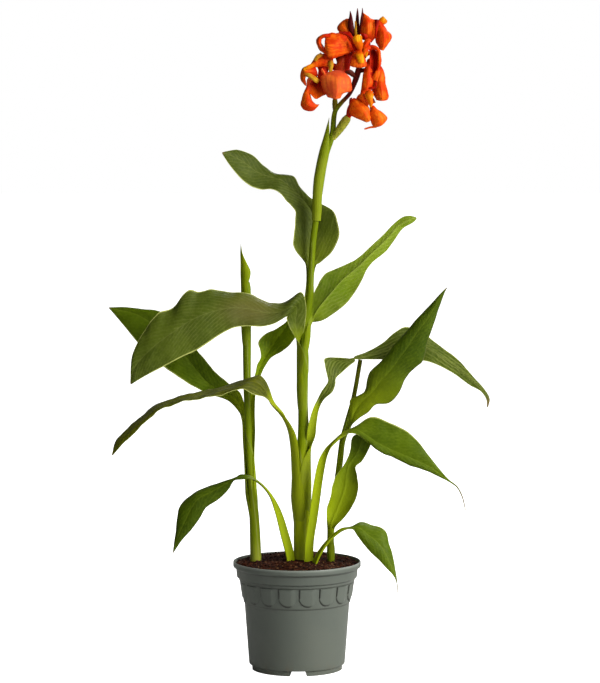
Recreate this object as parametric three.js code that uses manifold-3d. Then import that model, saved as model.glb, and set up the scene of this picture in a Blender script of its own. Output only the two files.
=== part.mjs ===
// Canna lily in its nursery pot, in millimetres, +Z up.
// The origin is where the pot's axis meets the surface that the pot stands on, and -Y is the front.
import * as THREE from 'three';
import { mergeVertices } from 'three/addons/utils/BufferGeometryUtils.js';
import Module from 'manifold-3d';

const wasm = await Module();
wasm.setup();

// ---------------------------------------------------------------- driving dimensions
const GAP = 0.3; // clearance between pieces that touch
const SCRAP = 2; // volume under which a loose scrap of a cut is left out

const POT_HEIGHT = 161;
const RIM_RADIUS = 95;
const POT_SIDES = 36;
const FOOT_RADIUS = 68;
const FOOT_WALL = 3;
const FLOOR_UNDERSIDE = 8;
const FLOOR_TOP = 10.6;
const SCALLOPS = 18;
const SCALLOP = { halfWidth: 11, top: 130, shoulder: 117, bottom: 105, proud: 1.2, sunk: 1.2 };
const FOOT_NOTCHES = 4;
const NOTCH = { topWidth: 20, bottomWidth: 26, height: 8.6, turn: 2 };
const DRAINS = { count: 6, radius: 6, circle: 44 };

const SOIL_EDGE = 157.5;
const SOIL_CROWN = 162;
const SOIL_ROUGHNESS = 1.2;

const STEM_SIDES = 10;
const BLADE_THICKNESS = 1.0;
const BLADE_STRIPS = 6; // facets across a blade
const BLADE_STEP = 30; // length of a facet along a blade
const SHEATH_WRAP = 200; // how far a leaf's sheath reaches round its stem, degrees
const SHEATH_OPENING = 0.3; // share of that wrap which the sheath loses by its top
const SHEATH_SLACK = 0.45; // clearance between a shoot and the sheath round it
const KEEL = 1.4; // how far a midrib stands out under its blade
const PETAL_THICKNESS = 0.9;
const PETAL_STRIPS = 4;
const PETAL_STEP = 12;
const TUBE_SIDES = 6;
const MOUTH_RADIUS = 5; // the knot at a flower's mouth, which its petals grow from

// The outside of the pot from its foot to its lip, as radius and height.
const POT_OUTSIDE = [
  [FOOT_RADIUS, 0], [FOOT_RADIUS, 6.5], [71.4, 8.2], [78.2, 99.5], [79.6, 101], [84, 131],
  [86.2, 133], [86.2, 136.5], [89.6, 138.2], [90.6, 150.5], [RIM_RADIUS, 153.5],
  [RIM_RADIUS, POT_HEIGHT],
];
// The inside of the pot from its lip down to the floor.
const POT_INSIDE = [
  [92.4, POT_HEIGHT], [92.2, 153.5], [88.6, 150], [87.8, 139.5], [84, 136], [76.8, 101],
  [69.6, FLOOR_TOP],
];

// Each shoot's axis and radius, from the rootstock up: x, y, z, radius.
const SHOOTS = {
  centre: [
    [8, 12, 112, 12.5], [8, 12, 160, 13.6], [8, 12, 225, 12.6], [8, 12, 250, 11.2], [8, 12, 285, 10.4],
    [8, 12, 310, 9.4], [9, 12, 335, 8], [9, 12, 365, 6.8], [9, 12, 395, 5.9], [11, 12, 440, 5.4],
    [13, 12, 482, 5.2], [16, 12, 524, 5.3], [19, 12, 564, 5.1], [24, 12, 638, 4.9],
    [30, 12, 675, 4.7], [33.8, 12, 712, 4.6], [42.8, 12, 764, 4.5], [52, 12, 793, 4.3],
    [56, 12, 827, 3.6],
  ],
  left: [
    [-61.5, 10, 112, 7.2], [-61.5, 10, 161, 8.3], [-64, 10, 230, 7.2], [-67, 10, 260, 6],
    [-69, 10, 292, 5.6], [-71, 10, 322, 5.2], [-72, 10, 350, 4.9], [-73, 10, 380, 5],
    [-74, 10, 415, 5.5], [-74.3, 10, 483, 6.3], [-74.5, 10, 500, 6.6], [-74.5, 10, 566, 6.2],
    [-74.5, 10, 576, 4.6],
  ],
  right: [
    [51, 2, 112, 4.4], [51, 2, 162, 4.6], [50.5, 4, 207, 4.5], [55, 8, 251, 4.2],
    [61, 14, 291, 3.9], [67, 22, 338, 3.6], [73.6, 28, 363, 3.4], [85.8, 38, 402, 3.1],
    [95, 50, 457, 2.8],
  ],
};
const ROOTSTOCK = [
  [-71, 9, 103, 6], [-61, 10, 102, 11], [-44, 11, 103, 9], [-20, 12, 102, 14], [8, 12, 101, 17],
  [28, 8, 103, 11], [51, 2, 102, 12], [66, -2, 104, 6],
];
const ROOTSTOCK_SIDES = 10;

// The flower stalk above the shoot, with the short stalks that carry the seed heads.
const FLOWER_STALK = [
  [56, 12, 827, 3.6], [65, 10, 840, 3.2], [77, 8, 853, 3], [84, 8, 868, 3.8], [89, 8, 883, 4.6],
  [92, 8, 896, 4], [90, 9, 915, 2.6], [87, 10, 928, 3.4], [87, 10, 935, 4.2],
];

// Leaves. A leaf on a shoot starts as a sheath between two heights, turned to an azimuth in degrees;
// an outer sheath lies over an inner one. Its free part is a list of stations along the midrib:
// [x, y, z], width, curl across the blade in degrees, and the direction that its upper side faces.
const LEAVES = {
  leaf_big_left: {
    shoot: 'centre', sheath: [398, 442], azimuth: 195, layer: 0,
    blade: [
      [[-1, 3, 476], 26, 110, [0.9, 0.15, 0.2]], [[-4, 0, 506], 30, 90, [0.6, -0.8, 0.3]],
      [[-4, -4, 536], 54, 50, [0.2, -1, 0.4]], [[-31, -14, 535], 42, -20, [0, -1, 0.8]],
      [[-66, -26, 541], 53, -35, [0, -1, 0.8]], [[-110, -40, 540], 73, -35, [0, -1, 0.75]],
      [[-153, -52, 524], 96, -35, [0, -1, 0.7]], [[-197, -60, 491], 74, -35, [-0.1, -1, 0.6]],
      [[-228, -64, 458], 42, -30, [-0.2, -1, 0.5]], [[-243, -66, 431], 3, 0, [-0.2, -1, 0.5]],
    ],
  },
  leaf_mid_left: {
    shoot: 'centre', sheath: [232, 290], azimuth: 190, layer: 1,
    blade: [
      [[-9.5, 0, 346], 24, 110, [0.85, 0.5, 0.3]], [[-20.5, -6, 375], 15, 140, [0.8, 0, 0.7]],
      [[-40, -14, 399], 13, 130, [0.6, -0.4, 0.7]], [[-54, -18, 419], 25, 80, [0.2, -0.8, 0.6]],
      [[-70, -22, 429], 38, 40, [-0.1, -0.5, 1]], [[-104, -34, 423], 50, 20, [-0.2, -0.15, 1]],
      [[-146, -46, 413], 53, 10, [-0.2, -0.15, 1]], [[-188, -56, 402.5], 47, 0, [-0.3, -0.2, 1]],
      [[-229, -64, 377], 44, -10, [-0.5, -0.25, 1]], [[-255, -70, 352], 34, -10, [-0.7, -0.35, 0.8]],
      [[-270, -72, 327], 3, 0, [-0.8, -0.4, 0.6]],
    ],
  },
  leaf_arching_right: {
    shoot: 'centre', sheath: [250, 312], azimuth: 345, layer: 0,
    blade: [
      [[24, 7, 345], 22, 110, [-1, 0.3, 0.2]], [[26, 6, 368], 21, 120, [-1, 0.2, 0.3]],
      [[33.5, 4, 400], 18, 110, [-0.9, -0.1, 0.5]], [[45, 6, 418], 25, 80, [-0.8, -0.5, 0.4]],
      [[50.5, 9, 435], 15, 60, [-0.7, -0.8, 0.4]], [[56, 13, 450], 34, 30, [-0.4, -1, 0.3]],
      [[62, 19, 459], 40, 10, [-0.1, -0.6, 0.9]], [[77, 23, 460], 24, 10, [0, 0.3, 1]],
      [[100, 28, 464], 23, 10, [0, 0.6, 0.8]], [[140, 38, 477], 46, -10, [0.1, 0.9, 0.6]],
      [[169, 42, 483], 58, -10, [0.2, 0.9, 0.6]], [[196, 42, 471], 46, -10, [0.3, 0.8, 0.6]],
      [[238, 34, 446], 30, -10, [0.5, 0.8, 0.5]], [[271, 22, 418], 18, 0, [0.6, 0.7, 0.5]],
      [[284, 12, 389], 3, 0, [0.8, 0.6, 0.2]],
    ],
  },
  leaf_upper_right: {
    shoot: 'centre', sheath: [450, 496], azimuth: 0, layer: 0,
    blade: [
      [[26, 12, 514], 28, 110, [-0.9, 0.2, 0.4]], [[37, 10, 532], 54, 60, [-0.7, 0.7, 0.5]],
      [[55, 8, 557], 70, 20, [-0.5, 0.9, 0.4]], [[77, 8, 578], 53, 10, [-0.5, 0.9, 0.4]],
      [[100, 8, 601], 39, 20, [-0.5, 0.8, 0.5]], [[123, 10, 626], 32, 30, [-0.6, 0.7, 0.5]],
      [[144, 12, 647], 24, 30, [-0.6, 0.7, 0.5]], [[161, 16, 665], 20, 10, [-0.5, 0.7, 0.6]],
      [[177, 21, 672], 10, 0, [-0.3, 0.7, 0.7]],
    ],
  },
  leaf_top_left: {
    shoot: 'centre', sheath: [540, 578], azimuth: 115, layer: 0,
    blade: [
      [[20.5, 22.5, 600], 28, 100, [0, -1, 0.1]], [[22, 25, 620], 58, 70, [0, -1, 0.1]],
      [[27, 29, 644], 70, 45, [0, -1, 0.1]], [[22, 33, 672], 62, 35, [0.1, -1, 0.3]],
      [[10, 34, 687], 42, 20, [0.1, -1, 0.5]], [[-2, 33, 701], 36, 10, [0.1, -1, 0.7]],
      [[-16, 31, 718], 36, 10, [0.1, -1, 0.7]], [[-46, 27, 730], 43, 0, [0.1, -1, 0.7]],
      [[-71, 22, 744], 50, -15, [0, -1, 0.6]], [[-92, 18, 758], 36, -10, [0, -1, 0.6]],
      [[-110, 14, 767], 4, 0, [0, -1, 0.6]],
    ],
  },
  flower_sheath: {
    shoot: 'centre', sheath: [658, 698], azimuth: 215, layer: 0,
    blade: [
      [[27.5, 6.5, 722], 34, 230, [0.82, 0.57, 0]], [[31, 6.5, 746], 38, 250, [0.82, 0.57, 0]],
      [[34, 6, 774], 46, 270, [0.82, 0.57, 0]], [[43, 5, 793], 26, 150, [0.82, 0.57, 0]],
      [[47, 8, 817], 1.5, 60, [0.6, 0.8, -0.2]],
    ],
  },
  leaf_far_left: {
    shoot: 'left', sheath: [240, 292], azimuth: 130, layer: 1,
    blade: [
      [[-79, 17, 338], 16, 140, [1, -0.5, 0.1]], [[-81, 20, 372], 14, 120, [0.8, -0.5, 0.5]],
      [[-94, 25, 395], 20, 60, [0.5, -0.7, 0.6]], [[-124, 36, 418], 35, 20, [0.3, -1, 0.6]],
      [[-154, 50, 441], 49, 10, [0.3, -1, 0.5]], [[-187, 64, 467], 60, 0, [0.3, -1, 0.4]],
      [[-220, 74, 501], 62, -10, [0.3, -1, 0.4]], [[-253, 84, 520], 39, -10, [0.3, -1, 0.4]],
      [[-284, 90, 532], 3, 0, [0.3, -1, 0.4]],
    ],
  },
  leaf_back_left: {
    shoot: 'left', sheath: [262, 312], azimuth: 40, layer: 0,
    blade: [
      [[-63.5, 14.5, 350], 14, 140, [-1, -0.4, 0.1]], [[-64, 16, 385], 14, 140, [-1, -0.4, 0.1]],
      [[-61, 20, 424], 9, 120, [-0.7, -0.6, 0.4]], [[-56, 26, 448], 12, 60, [-0.4, -1, 0.3]],
      [[-47, 32, 466], 26, 25, [-0.3, -1, 0.3]], [[-35, 38, 486], 45, 10, [-0.3, -1, 0.2]],
      [[-20, 44, 505], 30, 0, [-0.3, -1, 0.2]], [[-8, 48, 524], 3, 0, [-0.3, -1, 0.2]],
    ],
  },
  leaf_rolled: {
    shoot: 'left', sheath: [502, 566], azimuth: 180, layer: 0, wrap: 280,
    blade: [
      [[-82.4, 10, 590], 38, 280, [1, 0, 0]], [[-82.4, 10, 604], 26, 170, [1, 0, 0]],
      [[-82.8, 10, 618], 12, 90, [1, 0, 0]], [[-83, 10, 634], 1.2, 0, [1, 0, 0]],
    ],
  },
  leaf_upright_right: {
    shoot: 'right', sheath: [290, 332], azimuth: 300, layer: 0, wrap: 160,
    blade: [
      [[80, 16, 362], 20, 100, [-0.5, 0.5, 0.3]], [[88, 12, 379], 24, 70, [-0.6, -0.7, 0.4]],
      [[104, 6, 398], 34, 35, [-0.5, -1, 0.4]], [[130, 0, 423], 54, 20, [-0.5, -1, 0.4]],
      [[148, -6, 450], 52, 10, [-0.5, -1, 0.4]], [[167, -10, 479], 44, 10, [-0.5, -1, 0.4]],
      [[186, -12, 510], 32, 10, [-0.5, -1, 0.4]], [[203, -12, 539], 17, 0, [-0.5, -1, 0.4]],
      [[221, -12, 570], 3, 0, [-0.5, -1, 0.4]],
    ],
  },
  leaf_short_right: {
    shoot: 'right', sheath: [165, 190], azimuth: 250, layer: 0,
    blade: [
      [[50, -6, 208], 16, 140, [0.1, 1, 0.1]], [[58, -9, 231], 28, 50, [0.1, 1, 0.1]],
      [[69, -12, 258], 40, 20, [0, 1, 0.1]], [[76, -12, 282], 36, 20, [-0.1, 1, 0.1]],
      [[80, -12, 305], 30, 10, [-0.3, 1, 0.2]], [[86, -10, 326], 33, 0, [-0.5, 1, 0.3]],
      [[93, -8, 343], 24, 0, [-0.5, 1, 0.3]], [[102, -6, 355], 4, 0, [-0.5, 1, 0.3]],
    ],
  },
  leaf_low_left: {
    blade: [
      [[-11, -3, 128], 20, 130, [1, -0.5, 0.1]], [[-13, -4, 168], 23, 130, [0.8, -0.7, 0.3]],
      [[-20, -5, 201], 23, 130, [0.6, -0.8, 0.5]], [[-30, -7, 238], 20, 120, [0.6, -0.8, 0.6]],
      [[-44, -12, 267], 10, 110, [0.7, -0.3, 0.9]], [[-65, -18, 287], 9, 70, [0.3, -0.3, 1]],
      [[-87, -22, 286], 12, 40, [-0.2, -0.6, 1]], [[-112, -26, 276], 24, 10, [-0.4, -0.9, 0.7]],
      [[-137, -30, 260], 37, -10, [-0.4, -1, 0.6]], [[-157, -34, 238], 43, -20, [-0.5, -1, 0.5]],
      [[-172, -36, 210], 26, -10, [-0.5, -1, 0.4]], [[-183, -38, 180], 3, 0, [-0.5, -1, 0.3]],
    ],
  },
  leaf_low_right: {
    blade: [
      [[23, -9, 128], 18, 130, [-0.6, -0.8, 0.1]], [[26.5, -9, 180], 20, 130, [-0.6, -0.8, 0.2]],
      [[31, -9, 230], 22, 130, [-0.5, -0.9, 0.2]], [[34, -9, 276], 23, 130, [-0.5, -0.9, 0.3]],
      [[43, -11, 311], 20, 130, [-0.6, -0.8, 0.4]], [[54, -14, 335], 13, 110, [-0.7, -0.3, 0.7]],
      [[70, -17, 351], 13, 110, [-0.4, -0.2, 1]], [[86, -20, 360], 18, 60, [0, -0.9, 0.7]],
      [[112, -26, 358], 42, 10, [0.1, -1, 0.5]], [[140, -31, 346], 48, -10, [0.2, -1, 0.5]],
      [[168, -35, 329], 42, -10, [0.3, -1, 0.5]], [[197, -38, 310], 24, -5, [0.4, -1, 0.4]],
      [[220, -40, 289], 6, 0, [0.4, -1, 0.4]], [[237, -41, 272], 4, 0, [0.6, -1, 0.3]],
      [[248, -41, 242], 2, 0, [0.8, -1, 0.1]],
    ],
  },
  leaf_base_right: {
    blade: [
      [[33, -22, 134], 13, 130, [-1, 0.1, 0.5]], [[36, -23, 166], 15, 130, [-0.9, -0.3, 0.6]],
      [[44, -23, 186], 16, 130, [-0.7, -0.3, 0.8]], [[55, -23, 201], 14, 120, [-0.6, -0.2, 0.9]],
      [[67, -23, 210], 15, 90, [-0.3, -0.4, 1]], [[80, -24, 214], 11, 50, [0, -0.7, 1]],
      [[100, -27, 210], 30, 15, [0.2, -1, 0.8]], [[119, -30, 194], 38, -5, [0.4, -1, 0.5]],
      [[134, -33, 171], 25, -10, [0.5, -1, 0.3]], [[147, -34, 140], 4, 0, [0.5, -1, 0.3]],
      [[149, -34, 113], 1.5, 0, [0.5, -1, 0.1]],
    ],
  },
};

// Flowers: the seed head on the stalk and the tube that stands on it, as x, y, z, radius, then the
// orange petals and the yellow ones inside them, given as a leaf's free part is.
const FLOWERS = {
  upper_left: {
    seedHead: [[91, 8, 893, 2.6], [85, 5.5, 899, 4.6], [82, 4.5, 907, 4.2], [82, 3.5, 910, 3]],
    tube: [[82, 1.5, 915, 3], [82, 0, 919, 4]],
    petals: [
      [
        [[81, 0, 922], 9, 120, [0, -0.3, 1]], [[72, -8, 925], 24, 60, [0, -0.9, 0.5]],
        [[60, -18, 922], 41, 30, [0, -1, 0.2]], [[47, -25, 924], 37, 10, [0, -1, 0]],
        [[35, -28, 926], 20, -30, [-0.3, -1, 0]], [[31, -22, 929], 14, -40, [-1, -0.3, 0]],
        [[34, -15, 930], 8, -30, [-0.6, 1, 0]],
      ],
      [
        [[82, 3, 921], 8, 90, [0, 0.8, 0.4]], [[72, 13, 930], 22, 40, [0, 1, 0.3]],
        [[59, 20, 930], 26, 10, [-0.1, 1, 0.2]], [[47, 22, 923], 16, -20, [-0.3, 1, -0.2]],
        [[43, 20, 915], 5, 0, [-0.4, 1, -0.3]],
      ],
      [
        [[81, 0, 919], 7, 90, [0, -0.6, -0.8]], [[75, -5, 909], 14, 30, [-0.2, -0.9, -0.3]],
        [[69, -8, 899], 15, 0, [-0.2, -1, 0]], [[64, -9, 888], 4, 0, [-0.2, -1, 0]],
      ],
    ],
  },
  back: {
    seedHead: [[88, 9, 921, 2.4], [85, 13, 924, 3], [83, 15, 925, 2.6]],
    tube: [[83, 19, 931, 3], [83, 21, 934, 4]],
    petals: [
      [
        [[81, 20, 936], 8, 90, [-0.6, -0.6, 0.4]], [[75, 22, 946], 15, 40, [-0.5, -0.9, 0.2]],
        [[68, 25, 955], 18, 10, [-0.3, -1, 0.2]], [[65, 30, 960], 8, -20, [-0.2, -1, 0.6]],
      ],
      [
        [[83, 24, 936], 8, 90, [0, -0.6, 0.7]], [[77, 34, 944], 18, 40, [0, -0.4, 0.9]],
        [[71, 46, 946], 16, 0, [0, 0.2, 1]], [[68, 54, 940], 6, -10, [-0.2, 0.6, 0.8]],
      ],
      [
        [[84, 24, 936], 8, 90, [-0.2, -0.5, 0.8]], [[93, 33, 944], 17, 40, [-0.1, -0.3, 0.9]],
        [[102, 43, 944], 15, 0, [0.2, 0.2, 1]], [[107, 50, 938], 5, -10, [0.3, 0.5, 0.8]],
      ],
    ],
  },
  top_right: {
    seedHead: [[91, 9, 909, 2.4], [96, 10, 915, 3.2], [98, 10, 918, 2.8]],
    tube: [[102, 11, 923, 3], [105, 12, 928, 4]],
    petals: [
      [
        [[102, 12, 930], 8, 100, [-0.2, -0.8, 0.4]], [[102, 10, 941], 20, 50, [0, -1, 0.1]],
        [[101, 8, 953], 21, 30, [0, -1, 0.1]], [[100, 9, 963], 13, 10, [0, -1, 0.2]],
        [[98, 11, 971], 3, 0, [0, -1, 0.3]],
      ],
      [
        [[108, 13, 930], 8, 100, [0, -0.8, -0.5]], [[116, 6, 940], 15, 20, [0, -1, 0]],
        [[123, -1, 939], 19, 10, [0.2, -1, 0.2]], [[129, -4, 932], 15, -10, [0.3, -1, 0.1]],
        [[129, -6, 923], 12, -20, [0.3, -1, -0.1]], [[126, -6, 917], 4, 0, [0.2, -1, -0.2]],
      ],
      [
        [[106, 15, 930], 8, 100, [0.2, 0.9, 0.3]], [[109, 24, 943], 20, 40, [0.2, 1, 0.2]],
        [[114, 32, 954], 18, 0, [0.3, 1, -0.1]], [[119, 38, 956], 8, -20, [0.3, 1, -0.4]],
      ],
    ],
    heart: [
      [
        [[106, 12, 930], 5, 60, [0.3, -0.4, 0.9]], [[115, 16, 944], 8, 30, [0.4, -0.4, 0.8]],
        [[124, 22, 958], 10, 20, [0.5, -0.6, 0.6]], [[128, 22, 964], 8, -20, [0.6, -0.7, 0.2]],
        [[132, 20, 961], 3, 0, [0.7, -0.7, -0.1]],
      ],
    ],
  },
  front: {
    seedHead: [[91, 8, 908, 2.4], [91, 1, 910, 3], [91, -1, 911, 2.6]],
    tube: [[91, -6, 914, 3], [91, -9, 917, 4]],
    petals: [
      [
        [[93, -9, 919], 6, 100, [0, -0.9, -0.4]], [[100, -13, 927], 12, 50, [0.1, -1, 0]],
        [[104, -17, 932], 9, 20, [0.3, -1, 0.3]], [[108, -20, 934], 3, 0, [0.3, -1, 0.3]],
      ],
      [
        [[89, -9, 919], 6, 90, [0, -0.8, -0.6]], [[84, -14, 926], 12, 40, [-0.2, -1, -0.1]],
        [[80, -18, 933], 10, 10, [-0.5, -1, 0]], [[82, -22, 937], 3, 0, [-0.5, -1, 0]],
      ],
      [
        [[91, -11, 914], 8, 80, [0, -0.6, 0.8]], [[89, -21, 907], 22, 30, [0, -0.7, 0.7]],
        [[89, -27, 899], 23, 0, [0, -1, 0.3]], [[88, -28, 894], 16, -20, [0, -1, 0.2]],
      ],
    ],
    heart: [
      [
        [[91, -11, 917], 5, 60, [0, -0.8, -0.5]], [[91, -20, 926], 13, 30, [0, -1, 0.2]],
        [[88, -26, 933], 15, 20, [-0.1, -1, 0]], [[83, -30, 936], 8, 0, [-0.3, -1, -0.3]],
      ],
      [
        [[91, -10.5, 916.6], 6, 40, [0, -0.5, 0.9]], [[91, -17, 917], 6, 30, [0, -0.4, 1]],
        [[92, -25, 914], 8, 30, [0, -0.8, 0.7]], [[92, -30, 906], 9, 20, [0, -1, 0.3]],
        [[93, -32, 898], 5, 0, [0, -1, 0.1]],
      ],
    ],
  },
  right: {
    seedHead: [[93, 8, 894, 2.4], [96, 7, 902, 3], [98, 7, 905, 2.6]],
    tube: [[102, 5.5, 911, 3], [105, 5, 914, 4]],
    petals: [
      [
        [[105, 5, 916], 8, 100, [0.7, -0.3, -0.6]], [[110, 3, 923], 12, 20, [0.2, -0.4, -0.9]],
        [[116, 6, 920], 13, 30, [-0.9, -0.2, -0.5]], [[117, 6, 904], 27, 60, [-0.7, -0.7, 0]],
        [[117, 5, 890], 17, 40, [-0.8, -0.6, -0.1]], [[116, 4, 877], 5, 10, [-0.8, -0.8, -0.2]],
      ],
      [
        [[106, 8, 915], 8, 90, [0.2, 0.5, 0.9]], [[114, 20, 914], 16, 40, [0.3, 0.4, 0.8]],
        [[120, 30, 902], 20, 10, [0.8, 0.3, 0.3]], [[120, 32, 886], 15, -10, [0.9, 0.2, 0.1]],
        [[118, 30, 874], 5, 0, [0.9, 0.2, 0]],
      ],
    ],
    heart: [
      [
        [[105, 4, 915], 5, 60, [0, 0.2, 1]], [[107, -5, 917], 7, 30, [0, -0.3, 1]],
        [[104, -9, 910], 6, 0, [0, -1, 0.3]],
      ],
    ],
  },
  right_low: {
    seedHead: [[91, 8, 886, 2.4], [97, 5, 888, 3.2], [99, 4, 888.5, 2.8]],
    tube: [[103, 0, 891, 3], [106, -2, 894, 4]],
    petals: [
      [
        [[109, -4, 894], 7, 90, [0.7, -0.3, 0.5]], [[119, -10, 885], 15, 50, [0.4, -0.9, 0.2]],
        [[122, -14, 871], 18, 30, [0.3, -1, 0.1]], [[123, -16, 856], 20, 10, [0.2, -1, 0.1]],
        [[125, -16, 844], 15, 0, [0.2, -1, 0]],
      ],
      [
        [[105, -4, 893], 7, 90, [-0.1, -0.7, 0.7]], [[101, -12, 884], 15, 40, [0, -1, 0]],
        [[98, -15, 871], 16, 30, [0, -1, 0]], [[98, -14, 857], 6, 0, [0, -1, 0.1]],
      ],
      [
        [[106, 1, 892], 7, 60, [0.2, 0.8, 0.3]], [[105, 11, 882], 13, 40, [0.1, 1, 0.3]],
        [[111, 17, 871], 15, 10, [0.4, 1, 0.1]], [[115, 18, 857], 6, 0, [0.4, 1, 0]],
      ],
    ],
  },
  left: {
    seedHead: [[88, 8, 877, 2.6], [78, 4, 885, 4.2], [71, 2, 887, 3.4]],
    tube: [[57, -2, 892, 5], [46, -5, 897, 4]],
    petals: [
      [
        [[46, -8, 897], 8, 100, [-0.2, -0.3, 1]], [[34, -12, 901], 18, 50, [-0.1, -0.9, 0.6]],
        [[20, -16, 892], 20, 30, [-0.4, -1, 0.2]], [[10, -17, 882], 15, 40, [-0.7, -0.8, 0]],
        [[7, -14, 872], 9, 30, [-0.8, -0.5, 0]], [[11, -10, 865], 4, 0, [-0.4, -0.6, 0]],
      ],
      [
        [[44, -2, 897], 8, 90, [-0.2, 0.7, 0.7]], [[34, 6, 903], 15, 40, [-0.3, 0.8, 0.6]],
        [[26, 13, 897], 12, 0, [-0.4, 0.9, 0.3]], [[19, 17, 890], 6, -20, [-0.6, 0.9, 0]],
      ],
      [
        [[44, -6, 895], 7, 80, [-0.3, -0.4, -0.8]], [[35, -8, 887], 13, 40, [-0.5, -0.8, -0.3]],
        [[31, -8, 878], 10, 20, [-0.6, -0.8, 0]], [[29, -6, 872], 4, 0, [-0.6, -0.8, 0]],
      ],
    ],
    heart: [
      [
        [[44, -4, 899], 5, 60, [0.4, -0.5, 0.7]], [[34, 0, 909], 8, 30, [0, -0.4, 0.9]],
        [[27, -3, 906], 6, -20, [-0.7, -0.3, 0.7]], [[22, -5, 900], 2.5, 0, [-0.8, -0.3, 0.3]],
      ],
    ],
  },
  low_left: {
    seedHead: [[56, 12, 830, 3.2], [56, 11, 839, 4], [56, 9, 846, 3.4]],
    tube: [[49, 1, 864, 3.4], [41, -8, 875, 4]],
    petals: [
      [
        [[43, -10, 875], 9, 110, [0.2, -0.2, 1]], [[51, -22, 881], 30, 60, [0.3, -0.5, 0.8]],
        [[57, -31, 873], 44, 40, [0.2, -1, 0.2]], [[58, -34, 860], 38, 20, [0.1, -1, 0]],
        [[57, -33, 850], 18, 0, [0.1, -1, -0.1]],
      ],
      [
        [[38, -9, 872], 7, 100, [-0.7, -0.2, 0.6]], [[22, -14, 863], 12, 60, [-0.7, -0.5, 0.5]],
        [[15, -17, 852], 16, 40, [-0.8, -0.7, 0.1]], [[15, -18, 841], 14, 20, [-0.4, -1, 0]],
        [[21, -18, 834], 6, 10, [0.2, -1, 0]], [[31, -17, 836], 4, 0, [0.4, -1, 0.2]],
      ],
      [
        [[40, -11, 872], 8, 90, [-0.3, -0.7, 0.6]], [[31, -20, 859], 17, 30, [-0.1, -1, 0.4]],
        [[29, -24, 851], 17, 0, [0, -1, 0]], [[29, -25, 844], 5, 0, [0, -1, 0]],
      ],
      [
        [[39, -5, 875], 8, 90, [0.2, -0.2, 1]], [[30, 6, 878], 18, 40, [0, 0.1, 1]],
        [[21, 14, 874], 18, 0, [-0.3, 0.3, 1]], [[16, 18, 862], 7, -10, [-0.7, 0.7, 0.5]],
      ],
    ],
    heart: [
      [
        [[38, -11, 874], 5, 60, [-0.4, -0.6, 0.7]], [[26, -22, 874], 8, 30, [-0.3, -0.9, 0.5]],
        [[15, -25, 882], 9, 0, [-0.3, -1, 0.2]], [[10, -26, 883], 3, 0, [-0.3, -1, 0.2]],
      ],
    ],
  },
  low_right: {
    seedHead: [[53, 12, 788, 4], [63, 7, 802, 6], [72, 3, 815, 6.4], [75.5, 2, 820, 4.8]],
    tube: [[80, -3, 832, 6], [86, -8, 840, 5]],
    petals: [
      [
        [[86, -9, 840], 8, 110, [0.2, -0.3, 1]], [[89, -15, 839], 18, 60, [0.2, -0.9, 0.5]],
        [[97, -20, 827], 26, 40, [0.1, -1, 0.2]], [[102, -21, 818], 20, 20, [0.1, -1, 0]],
        [[103, -20, 810], 6, 0, [0, -1, -0.1]],
      ],
      [
        [[89, -8, 839], 7, 80, [0.3, -0.4, 0.8]], [[104, -14, 834], 13, 50, [0.3, -0.9, 0.5]],
        [[116, -18, 825], 23, 40, [0.2, -1, 0.2]], [[123, -18, 817], 17, 20, [0.3, -1, 0]],
        [[117, -16, 808], 9, 0, [0.1, -1, -0.2]], [[100, -14, 801], 2.5, 0, [0, -1, -0.2]],
      ],
      [
        [[87, -5, 840], 7, 90, [-0.3, -0.6, 0.7]], [[96, 2, 850], 13, 50, [0.2, -0.3, 1]],
        [[106, 8, 849], 16, 20, [0.2, 0.1, 1]], [[114, 12, 840], 7, 0, [0.7, 0.7, 0.3]],
      ],
    ],
    heart: [
      [
        [[88, -11, 839], 5, 50, [0.2, -0.5, 0.9]], [[98, -20, 847], 12, 30, [-0.2, -0.9, 0.5]],
        [[105, -23, 852], 14, 10, [0.3, -1, 0]], [[108, -25, 841], 11, 0, [0.2, -1, -0.2]],
        [[107, -24, 836], 4, 0, [0.2, -1, -0.3]],
      ],
    ],
  },
};

// Unopened buds at the top of the stalk.
const BUDS = {
  bud_left: [
    [85, 9, 935.9, 1.5], [80, 8, 949, 4.2], [79, 8, 959, 3.8], [79, 8, 968, 2], [78, 8, 975, 0.4],
  ],
  bud_middle: [
    [88, 12.2, 935.6, 1.5], [89, 13, 947, 2.8], [89, 13, 962, 2.6], [89, 13, 972, 1.6],
    [89, 13, 979, 0.4],
  ],
  bud_right: [
    [89.5, 8, 936, 1.3], [93, 3, 947, 2.2], [95, 2.5, 962, 2], [96, 2.5, 972, 1.2], [96, 3, 979, 0.4],
  ],
};

// ---------------------------------------------------------------- materials
const COLOURS = {
  pot: { color: 0x6f7a70, roughness: 0.55 },
  soil: { color: 0x3a1a12, roughness: 1 },
  rootstock: { color: 0x9a7b52, roughness: 0.9 },
  stem: { color: 0x8da01e, roughness: 0.5 },
  leaf: { color: 0x5b6f1c, roughness: 0.45 },
  petal: { color: 0xf4601a, roughness: 0.5 },
  heart: { color: 0xf0a51e, roughness: 0.5 },
  bud: { color: 0x4a0f18, roughness: 0.5 },
};

// ---------------------------------------------------------------- shape kit
const radians = THREE.MathUtils.degToRad;

const distance = (a, b) => Math.hypot(b[0] - a[0], b[1] - a[1], b[2] - a[2]);

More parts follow.
